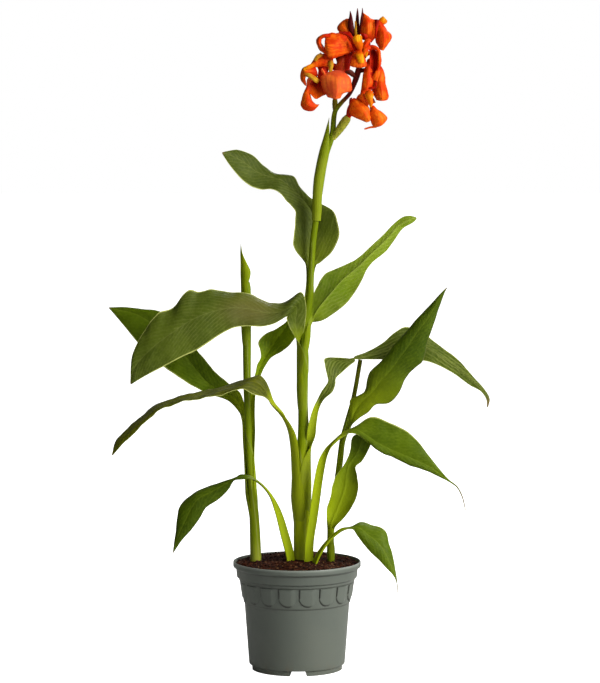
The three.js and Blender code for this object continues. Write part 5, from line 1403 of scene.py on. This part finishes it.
# ------------------------------------------------------------------ operators
class CANNA_OT_pot(bpy.types.Operator):
    """The tapered pot with its rolled rim, rounded panels, foot ring and drain holes"""
    bl_idname = "canna.pot"
    bl_label = "Pot"

    # Lengths are in millimetres. The panels sit on a band, each with a round lower end under its shoulder.
    row_step = 8
    band_row_step = 0.8
    columns_per_panel = 36
    band = (101, 133)
    band_radius = 75
    panel_radius = 82
    panel_half_width = 13.2
    panel_edge = math.radians(-87.75)
    panel_shoulder = 118
    panel_top = 131.2
    groove_width = 1.3
    groove_depth = 0.5
    # Heights of the steps under the lip and round the band, where rings of painted shade run.
    painted_shade_steps = (100.8, 132.6, 137.6, 151)
    foot_radius = 68
    notch_count = 4
    notch_turn = math.radians(-88)
    notch_height = 7.9
    notch_half_width = 13
    notch_slope = 3
    drain_count = 6
    drain_turn = 15
    drain_circle = 44
    drain_radius = 6

    def rounded(self, profile):
        """The profile with its corners turned into short curves."""
        points = [profile[0]]
        for before, corner, after in zip(profile, profile[1:], profile[2:]):
            corner = np.array(corner, float)
            reach = [min(0.9, 0.42 * np.linalg.norm(np.array(end) - corner)) for end in (before, after)]
            start = corner + reach[0] * unit(np.array(before) - corner)
            end = corner + reach[1] * unit(np.array(after) - corner)
            for share in (0, 0.33, 0.67, 1):
                way = (1 - share) ** 2 * start + 2 * share * (1 - share) * corner + share ** 2 * end
                points.append(tuple(way))
        points.append(profile[-1])
        return points

    def filled(self, profile, band_step):
        """The profile with extra rows, of which the band that carries the panels may have more."""
        low, high = self.band
        rows = []
        for start, end in zip(profile, profile[1:]):
            rows.append(start)
            on_band = low < (start[1] + end[1]) / 2 < high and start[0] > self.band_radius
            cuts = max(1, round(abs(end[1] - start[1]) / (band_step if on_band else self.row_step)))
            rows += [tuple(np.array(start) + (np.array(end) - start) * k / cuts) for k in range(1, cuts)]
        return rows + [profile[-1]]

    def panel_lift(self, angle, height):
        """How far the rounded panels raise the surface, in millimetres, and where painted shade darkens the
        grooves along their left and lower edges and rings at the wall's steps.
        """
        sizes = bpy.context.scene.canna_sizes
        half = self.panel_half_width
        turn = np.mod(angle - self.panel_edge + 1e-6, 2 * math.pi / sizes.scallops) * self.panel_radius - half
        side = np.abs(turn) / half
        foot = self.panel_shoulder - half * np.sqrt(np.clip(1 - side ** 2, 0, 1))
        right = smooth(half - turn, -0.6, 9)
        inside = smooth(height - foot, -0.3, 0.5) * smooth(half + turn, -0.1, 0.7)
        inside = inside * np.where(turn > 0, right, 1)
        within = smooth(self.panel_top - height, 0, 0.6)
        gap = np.where(height > self.panel_shoulder, half + turn, height - foot)
        line = np.exp(-(gap / self.groove_width) ** 2) * (side < 1.001) * within
        # Only each panel's left side and most of its lower curve keep the groove and its painted shade.
        line = line * smooth(0.55 * half - turn, 0, 5)
        steps = sum(np.exp(-((height - step) / 0.9) ** 2) for step in self.painted_shade_steps)
        lift = sizes.scallop_rise / MM * inside * within - self.groove_depth * line
        return lift, np.minimum(1, line + 0.6 * steps)

    def notched(self, profile, angle):
        """Heights round the pot, raised to the top of a notch where the foot ring has one."""
        height = profile[:, 1:] + 0 * angle
        part = 2 * math.pi / self.notch_count
        turn = (angle - self.notch_turn + part / 2) % part - part / 2
        over = (self.notch_half_width - np.abs(turn) * self.foot_radius) / self.notch_slope
        lip = self.notch_height * np.clip(over, 0, 1)
        return np.where((profile[:, :1] > FOOT_RING - 1) & (height < lip), lip, height)

    def drain(self, pot):
        """Cuts the drain holes through the floor."""
        for number in range(self.drain_count):
            turn = math.radians(self.drain_turn) + number * 2 * math.pi / self.drain_count
            reach = self.drain_circle * MM
            place = (reach * math.cos(turn), reach * math.sin(turn), (POT_FLOOR + POT_FLOOR_UNDER) / 2 * MM)
            deselect_all()
            bpy.ops.mesh.primitive_cylinder_add(vertices=32, radius=self.drain_radius * MM, depth=8 * MM,
                                                location=place)
            drill = bpy.context.object
            cut = pot.modifiers.new("drain", "BOOLEAN")
            cut.object = drill
            cut.solver = "MANIFOLD"
            bpy.context.view_layer.objects.active = pot
            bpy.ops.object.modifier_apply(modifier="drain")
            bpy.data.objects.remove(drill)
        for layer in [layer for layer in pot.data.uv_layers if layer.name != "surface"]:
            pot.data.uv_layers.remove(layer)

    def execute(self, context):
        outside = self.filled(self.rounded(POT_OUTSIDE + POT_INSIDE[:1]), self.band_row_step)
        inside = self.rounded(POT_OUTSIDE[-1:] + POT_INSIDE + [(AXIS_GAP, POT_FLOOR)])[1:]
        inside = self.filled(inside, self.row_step)
        under = self.filled([(AXIS_GAP, POT_FLOOR_UNDER), (FOOT_RING, POT_FLOOR_UNDER), (FOOT_RING, 0.4),
                             (FOOT_RING + 0.4, 0)], self.row_step)
        profile = np.array(under + outside + inside)
        columns = self.columns_per_panel * context.scene.canna_sizes.scallops + 1
        angle = np.linspace(0, 2 * math.pi, columns)[None, :] + self.panel_edge
        radius = profile[:, :1] + 0 * angle
        # crease carries the painted shade of the panel edges and steps to the material.
        crease = np.zeros_like(radius)
        wall = slice(len(under), len(under) + len(outside))
        lift, crease[wall] = self.panel_lift(angle, profile[wall, 1:] + 0 * angle)
        radius[wall] += lift
        height = self.notched(profile, angle)
        rings = np.stack([radius * np.cos(angle), radius * np.sin(angle), height], axis=-1)
        rings[:, -1] = rings[:, 0]
        flat = np.stack([height, radius * angle], axis=-1) * MM
        shape = np.stack([crease, 0 * crease, 0 * crease], axis=-1)
        pot = bent_grid("canna_pot", rings, flat, shape, 35)
        self.drain(pot)
        finished(pot, ["pot"], "pot_plastic", self.plastic(context.scene.canna_colours))
        return {"FINISHED"}

    def plastic(self, colours):
        """Matt moulded plastic, with soil dust on the foot, a painted highlight round the rim and painted
        shade along the panel edges and steps.
        """
        material, tree, shader = new_material("moulded_plastic")
        made = use_group(tree, mottle_group(), Main=(*colours.pot, 1), Patch=paint(102, 107, 97),
                         Patch_size=9.0, Grain_size=900.0, Strength=0.5)
        body = object_place(tree)
        _, _, height = axes(tree, body)
        # Painted highlight: a paler band round the top of the rim.
        colour = blend(tree, ramp(tree, height, 0.1565, 0.161, 0.0, 0.5), made["Color"], paint(156, 164, 156))
        # Painted shade: a near-black line along the panels' left and lower edges and at the steps under the
        # lip and round the band.
        colour = blend(tree, times(tree, shape_values(tree)[0], 0.9), colour, paint(30, 28, 22))
        dust = ramp(tree, grain(tree, body, 60.0, 5.0, 0.7), 0.45, 0.75)
        dust = times(tree, dust, ramp(tree, height, 0.03, 0.0, 0.0, 0.5))
        colour = blend(tree, dust, colour, paint(112, 98, 78))
        rough = ramp(tree, grain(tree, body, 22.0, 4.0), 0.3, 0.7, 0.36, 0.48)
        set_surface(tree, shader, colour, rough, 0.5, made["Height"], 0.00008)
        return material


class CANNA_OT_soil(bpy.types.Operator):
    """The potting soil that fills the pot, with its crumbs"""
    bl_idname = "canna.soil"
    bl_label = "Soil"

    # The sides follow the inside of the pot, 0.3 mm away: radius and height.
    side = [(0.5, 10.9), (69.2, 10.9), (76.4, 101.3), (83.6, 136.3), (87.4, 139.8), (88.2, 150.3),
            (91.8, 153.8)]
    # The top's radius, the step between its rings, how much higher it is at the back, how much lower its
    # lumps sit and how far out the crumbs lie, in millimetres. One crumb in fourteen is a wood fibre.
    radius = 92
    ring_step = 1.25
    columns = 300
    bank = 2.8
    sink = 0.4
    crumb_seed = 11
    crumb_reach = 90
    fibre_every = 14

    def top(self, x, y):
        """Height of the soil's surface in millimetres, with its lumps, banked up at the back."""
        sizes = bpy.context.scene.canna_sizes
        share = math.hypot(x, y) / self.radius
        crowned = (sizes.soil_crown - (sizes.soil_crown - sizes.soil_edge) * share * share) / MM
        banked = self.bank * (max(0, y) / self.radius) ** 2
        place = Vector((x, y, 0))
        lumps = noise.fractal(place / 9, 1.0, 2.0, 4) * 1.3 + noise.fractal(place / 2.4, 1.0, 2.0, 3) * 0.7
        return crowned + banked + lumps - self.sink

    def execute(self, context):
        angle = np.linspace(0, 2 * math.pi, self.columns + 1)
        rings = [[(r * math.cos(a), r * math.sin(a), z) for a in angle] for r, z in self.side]
        for reach in [*np.arange(self.radius - 0.1, 3, -self.ring_step), 2.2, 1.2, 0.4]:
            row = [(x, y, self.top(x, y))
                   for x, y in ((reach * math.cos(a), reach * math.sin(a)) for a in angle[:-1])]
            rings.append(row + [row[0]])
        rings = np.array(rings)
        flat = np.zeros((*rings.shape[:2], 2))
        ground = bent_grid("canna_soil", rings, flat, np.zeros(rings.shape), 180)
        soil = joined("canna_soil", [ground, self.crumbs(context.scene.canna_sizes.crumbs)])
        finished(soil, ["soil"], "potting_soil", self.earth(context.scene.canna_colours))
        return {"FINISHED"}

    def crumbs(self, count):
        """Loose crumbs and a few wood fibres, pressed into the surface."""
        draw = random.Random(self.crumb_seed)
        deselect_all()
        bpy.ops.mesh.primitive_ico_sphere_add(subdivisions=1, radius=1)
        crumb = bpy.context.object
        corners = np.array([v.co[:] for v in crumb.data.vertices])
        faces = np.array([p.vertices[:] for p in crumb.data.polygons])
        points, triangles = [], []
        for number in range(count):
            out = self.crumb_reach * math.sqrt(draw.random())
            turn = draw.uniform(0, 2 * math.pi)
            size = draw.uniform(0.5, 1.7) if draw.random() < 0.85 else draw.uniform(1.7, 3.1)
            if number % self.fibre_every == 0:
                stretch = np.array([draw.uniform(3, 7), 0.4, 0.4])
            else:
                stretch = size * np.array([draw.uniform(0.7, 1.4), draw.uniform(0.7, 1.2), 0.7])
            heading = draw.uniform(0, math.pi)
            swirl = np.array([[math.cos(heading), math.sin(heading), 0],
                              [-math.sin(heading), math.cos(heading), 0], [0, 0, 1]])
            dent = np.array([[draw.uniform(0.7, 1.15)] for _ in corners])
            out = min(out, self.crumb_reach + 0.5 - max(stretch[:2]))
            x, y = out * math.cos(turn), out * math.sin(turn)
            place = np.array([x, y, self.top(x, y) + 0.25 * stretch[2]])
            points.append((corners * dent * stretch) @ swirl + place)
            triangles.append(faces + len(corners) * number)
        crumb.data.clear_geometry()
        crumb.data.from_pydata(np.concatenate(points) * MM, [], np.concatenate(triangles).tolist())
        crumb.data.update()
        return crumb

    def earth(self, colours):
        """Dark damp crumbs of uneven colour, with a few pale flecks."""
        material, tree, shader = new_material("soil")
        body = object_place(tree)
        bits = tree.nodes.new("ShaderNodeTexVoronoi")
        bits.inputs["Scale"].default_value = 420.0
        tree.links.new(body, bits.inputs["Vector"])
        shade = tree.nodes.new("ShaderNodeSeparateColor")
        tree.links.new(bits.outputs["Color"], shade.inputs[0])
        colour = blend(tree, ramp(tree, shade.outputs[0], 0.2, 0.9), (*colours.soil, 1), paint(78, 40, 22))
        dark = ramp(tree, grain(tree, body, 130.0, 4.0, 0.65), 0.4, 0.62)
        colour = blend(tree, dark, colour, paint(30, 12, 8))
        fleck = ramp(tree, shade.outputs[1], 0.95, 0.985, 0.0, 0.7)
        colour = blend(tree, fleck, colour, paint(150, 112, 76))
        set_surface(tree, shader, colour, 0.92, 0.1, grain(tree, body, 700.0, 4.0, 0.7), 0.0006)
        return material


class CANNA_OT_rootstock(bpy.types.Operator):
    """The finish of the fleshy root that joins the shoots in the soil"""
    bl_idname = "canna.rootstock"
    bl_label = "Rootstock"

    def execute(self, context):
        material, tree, shader = new_material("fleshy_root")
        made = use_group(tree, mottle_group(), Main=paint(170, 130, 84), Patch=paint(110, 76, 44),
                         Patch_size=45.0, Grain_size=300.0, Strength=0.8)
        set_surface(tree, shader, made["Color"], 0.8, 0.5, made["Height"], 0.0006)
        painted(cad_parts["rootstock"], material)
        return {"FINISHED"}


class CANNA_OT_stems(bpy.types.Operator):
    """The three shoots, the flower stalk and its seed heads"""
    bl_idname = "canna.stems"
    bl_label = "Stems"

    # Where a sheath's edge runs on a shoot: from height and angle to height and angle, in degrees.
    sheath_edges = {
        "centre": [(160, -73, 300, -75), (252, -13, 331, -131), (200, -150, 300, -120), (330, -60, 430, -35),
                   (438, -10, 501, -170), (491, -150, 550, -150), (560, -60, 640, -120)],
        "left": [(160, -60, 290, -100), (316, -10, 357, -170), (380, -60, 520, -100)],
        "right": [(160, -120, 240, -70), (230, -60, 400, -110)],
    }
    # How far an edge stands out and the length of a row of a shoot's mesh, in millimetres.
    edge_height = 0.6
    row_step = 2.5
    # Between which heights the flower stalk and the seed heads turn dark, and between which heights painted
    # shade darkens the right shoot's top, and how strongly.
    stalk_ripens = (828, 850)
    heads_ripen = (818, 832)
    right_shade_heights = (365, 400)
    right_shade_share = 0.3
    # How ripe a seed head is at its foot, where it is not as ripe as the others.
    young_heads = {"low_left": 0.12, "low_right": 0}
    ripe_head = 0.95

    def edges(self, shoot):
        """Relief of the overlapping sheath edges that run up a shoot, and where their pale rims show."""
        def lift(angle, place):
            height = place[..., 2]
            total, rim = 0 * height, 0 * height
            for low, start, high, end in self.sheath_edges[shoot]:
                share = (height - low) / (high - low)
                line = np.radians(start + (end - start) * share)
                past = np.mod(angle - line + math.pi, 2 * math.pi) - math.pi
                there = smooth(share, 0, 0.1) * smooth(1 - share, 0, 0.1)
                step = smooth(past, -0.08, 0.02) * smooth(-past, -1.3, 0)
                total = total + self.edge_height * there * step
                rim = np.maximum(rim, there * np.exp(-((past - 0.06) / 0.09) ** 2))
            return total, rim
        return lift

    def execute(self, context):
        colours = context.scene.canna_colours
        # The middle shoot's paler foot is partly painted light against the leaves' shade.
        material = stem_material("middle_stem", colours.stem_core_pale_and_lit, colours.stem_top)
        side_material = stem_material("side_stem", colours.stem_foot, colours.stem_top)
        pod = stem_material("seed_pod", colours.pod, colours.pod)
        step = self.row_step
        stalk = stem("canna_stem_centre", SHOOTS["centre"] + FLOWER_STALK, 48, step, self.edges("centre"),
                     lambda height: smooth(height, *self.stalk_ripens))
        parts = [painted(stalk, material)]
        for name, rows in SEED_HEADS.items():
            head = stem("seed_head", rows, 20, 1.0, self.warts, self.ripening(name))
            parts.append(painted(head, pod if name == "low_right" else material))
        finished(joined("canna_stem_centre", parts), ["stem_centre"], "green_stem")
        left = stem("canna_stem_left", SHOOTS["left"], 40, step, self.edges("left"))
        finished(left, ["stem_left"], "green_stem", side_material)
        # The right shoot's top is darkened towards the seed heads' colour as painted shade.
        right = stem("canna_stem_right", SHOOTS["right"], 40, step, self.edges("right"),
                     lambda height: self.right_shade_share * smooth(height, *self.right_shade_heights))
        finished(right, ["stem_right"], "green_stem", side_material)
        return {"FINISHED"}

    def ripening(self, name):
        """A function that gives how ripe this seed head is at each height."""
        least = self.young_heads.get(name, self.ripe_head)
        return lambda height: least + (1 - least) * 0.5 * smooth(height, *self.heads_ripen)

    @staticmethod
    def warts(angle, place):
        """Small blunt bumps on a seed head, which has no rims."""
        height = place[..., 2]
        return 0.3 * np.sin(5 * angle + height * 1.1) * np.sin(height * 2.4 + 2 * angle), 0


class CANNA_OT_leaves(bpy.types.Operator):
    """The leaves, each with its sheath or stalk, blade, midrib and veins"""
    bl_idname = "canna.leaves"
    bl_label = "Leaves"

    def execute(self, context):
        for seed, (name, stations) in enumerate(BLADES.items()):
            sheath = sheath_stations(*SHEATHS[name]) if name in SHEATHS else []
            upper, under, dry_tip, pale_foot, pale_reach = LEAF_SIDES[name]
            look = {**LEAF_LOOK, "pale_foot": pale_foot, "pale_reach": pale_reach}
            piece = blade("canna_" + name, sheath + stations, look, seed, dry_tip, len(sheath))
            kind = "green_stem" if name == "flower_sheath" else "green_leaf"
            finished(piece, [name], kind, leaf_finish(upper), leaf_finish(under))
        return {"FINISHED"}


class CANNA_OT_blooms(bpy.types.Operator):
    """The orange blooms with their tubes, and the yellow petals inside them"""
    bl_idname = "canna.blooms"
    bl_label = "Blooms"

    def execute(self, context):
        for number, (name, petals) in enumerate(PETALS.items()):
            parts = [painted(self.tube(name), petal_finish("orange"))]
            parts += self.petals(petals, 100 + 10 * number)
            finished(joined("canna_bloom_" + name, parts), ["bloom_" + name], "orange_petal")
            if name in HEARTS:
                inner = self.petals(HEARTS[name], 200 + 10 * number)
                finished(joined("canna_heart_" + name, inner), ["heart_" + name], "yellow_petal")
        return {"FINISHED"}

    def petals(self, rows, seed):
        return [painted(blade("petal", stations, PETAL_LOOK, seed + number), petal_finish(finish))
                for number, (finish, *stations) in enumerate(rows)]

    def tube(self, name):
        """The tube from a seed head to the mouth that the petals grow from, closed by a blunt cone."""
        x, y, z, radius = SEED_HEADS[name][-1]
        rows = [[x, y, z, 0.8 * radius]] + TUBES[name]
        before, mouth = (np.array(row[:3]) for row in rows[-2:])
        return stem("tube", rows + [[*(mouth + 0.6 * (mouth - before)), 1.2]], 24, 1.0)


class CANNA_OT_buds(bpy.types.Operator):
    """The unopened buds at the top of the stalk"""
    bl_idname = "canna.buds"
    bl_label = "Buds"

    def execute(self, context):
        colours = context.scene.canna_colours
        bud = (*colours.bud, 1)
        material = petal_material("bud", bud, paint(64, 8, 12), bud, paint(84, 12, 12), 0.15)
        for name, rows in BUDS.items():
            piece = stem("canna_" + name, rows, 24, 0.8, self.folds)
            finished(piece, [name], "dark_bud", material)
        return {"FINISHED"}

    @staticmethod
    def folds(angle, place):
        """The rolled petals of a bud show as shallow spiral folds, without rims."""
        return 0.12 * np.cos(3 * angle + place[..., 2] * 0.16), 0


class CANNA_OT_stage(bpy.types.Operator):
    """The pale floor, the soft lights and the camera"""
    bl_idname = "canna.stage"
    bl_label = "Stage"

    camera_place = (0.0045, -4.0, 0.8)
    camera_pitch = math.radians(4.453)
    focal_length = 142.9
    floor_grey = (0.6, 0.6, 0.59, 1)
    floor_glow = 1.3
    # Name, place, what it is aimed at, size in metres, power in watts, colour.
    lamps = [
        ("key", (2.8, -2.0, 2.0), (0, 0, 0.5), 2.6, 190, (1.0, 0.985, 0.94)),
        ("fill", (-0.8, -3.4, 2.2), (0, 0, 0.7), 1.8, 9, (1.0, 0.98, 0.94)),
        ("back", (0.8, 2.4, 2.4), (0, 0, 0.5), 1.4, 30, (1.0, 1.0, 0.98)),
    ]

    def execute(self, context):
        deselect_all()
        bpy.ops.mesh.primitive_plane_add(size=60)
        floor = context.object
        floor.name = "floor"
        material, tree, shader = new_material("floor")
        shader.inputs["Base Color"].default_value = self.floor_grey
        shader.inputs["Roughness"].default_value = 0.9
        shader.inputs["Specular IOR Level"].default_value = 0
        shader.inputs["Emission Color"].default_value = (1, 1, 1, 1)
        seen = tree.nodes.new("ShaderNodeLightPath").outputs["Is Camera Ray"]
        tree.links.new(times(tree, seen, self.floor_glow), shader.inputs["Emission Strength"])
        floor.data.materials.append(material)
        for name, place, target, size, power, colour in self.lamps:
            bpy.ops.object.light_add(type="AREA", location=place)
            lamp = context.object
            lamp.name = name
            lamp.data.shape = "DISK"
            lamp.data.size = size
            lamp.data.energy = power
            lamp.data.color = colour
            lamp.rotation_euler = (Vector(target) - Vector(place)).to_track_quat("-Z", "Y").to_euler()
        self.sky(context)
        bpy.ops.object.camera_add(location=self.camera_place,
                                  rotation=(math.radians(90) - self.camera_pitch, 0, 0))
        camera = context.object
        camera.name = "camera"
        camera.data.lens = self.focal_length
        camera.data.sensor_width = 36
        camera.data.sensor_fit = "AUTO"
        camera.data.clip_end = 100
        context.scene.camera = camera
        context.scene.view_settings.view_transform = "Standard"
        return {"FINISHED"}

    def sky(self, context):
        """A white surround that lights the plant from behind and the right more than from the front."""
        world = bpy.data.worlds.new("studio")
        world.use_nodes = True
        context.scene.world = world
        tree = world.node_tree
        tree.nodes.clear()
        seen = tree.nodes.new("ShaderNodeLightPath").outputs["Is Camera Ray"]
        shown = tree.nodes.new("ShaderNodeBackground")
        shown.inputs["Strength"].default_value = 1.0
        lighting = tree.nodes.new("ShaderNodeBackground")
        x_way, y_way, _ = axes(tree, tree.nodes.new("ShaderNodeTexCoord").outputs["Generated"])
        behind = ramp(tree, y_way, -0.3, 0.6, 0.14, 0.55)
        right = ramp(tree, x_way, -0.8, 0.4, 0.25, 1.0)
        tree.links.new(times(tree, behind, right), lighting.inputs["Strength"])
        mixed = tree.nodes.new("ShaderNodeMixShader")
        result = tree.nodes.new("ShaderNodeOutputWorld")
        for background in (shown, lighting):
            background.inputs["Color"].default_value = (1, 1, 1, 1)
        tree.links.new(seen, mixed.inputs[0])
        tree.links.new(lighting.outputs[0], mixed.inputs[1])
        tree.links.new(shown.outputs[0], mixed.inputs[2])
        tree.links.new(mixed.outputs[0], result.inputs[0])


OPERATORS = (CANNA_OT_pot, CANNA_OT_soil, CANNA_OT_rootstock, CANNA_OT_stems, CANNA_OT_leaves,
             CANNA_OT_blooms, CANNA_OT_buds, CANNA_OT_stage)


class CANNA_PT_build(bpy.types.Panel):
    """Builds the plant one group of pieces at a time"""
    bl_label = "Canna lily"
    bl_idname = "CANNA_PT_build"
    bl_space_type = "VIEW_3D"
    bl_region_type = "UI"
    bl_category = "Canna"

    def draw(self, context):
        for group in (context.scene.canna_sizes, context.scene.canna_colours):
            for name in group.bl_rna.properties.keys():
                if name not in ("rna_type", "name"):
                    self.layout.prop(group, name)
        for operator in OPERATORS:
            self.layout.operator(operator.bl_idname)


CLASSES = (CannaSizes, CannaColours, *OPERATORS, CANNA_PT_build)


def register():
    for each in CLASSES:
        bpy.utils.register_class(each)
    bpy.types.Scene.canna_sizes = bpy.props.PointerProperty(type=CannaSizes)
    bpy.types.Scene.canna_colours = bpy.props.PointerProperty(type=CannaColours)


def unregister():
    del bpy.types.Scene.canna_colours
    del bpy.types.Scene.canna_sizes
    for each in reversed(CLASSES):
        bpy.utils.unregister_class(each)


def main():
    register()
    bpy.ops.canna.pot()
    bpy.ops.canna.soil()
    bpy.ops.canna.rootstock()
    bpy.ops.canna.stems()
    bpy.ops.canna.leaves()
    bpy.ops.canna.blooms()
    bpy.ops.canna.buds()
    bpy.ops.canna.stage()
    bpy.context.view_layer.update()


if __name__ == "__main__":
    main()
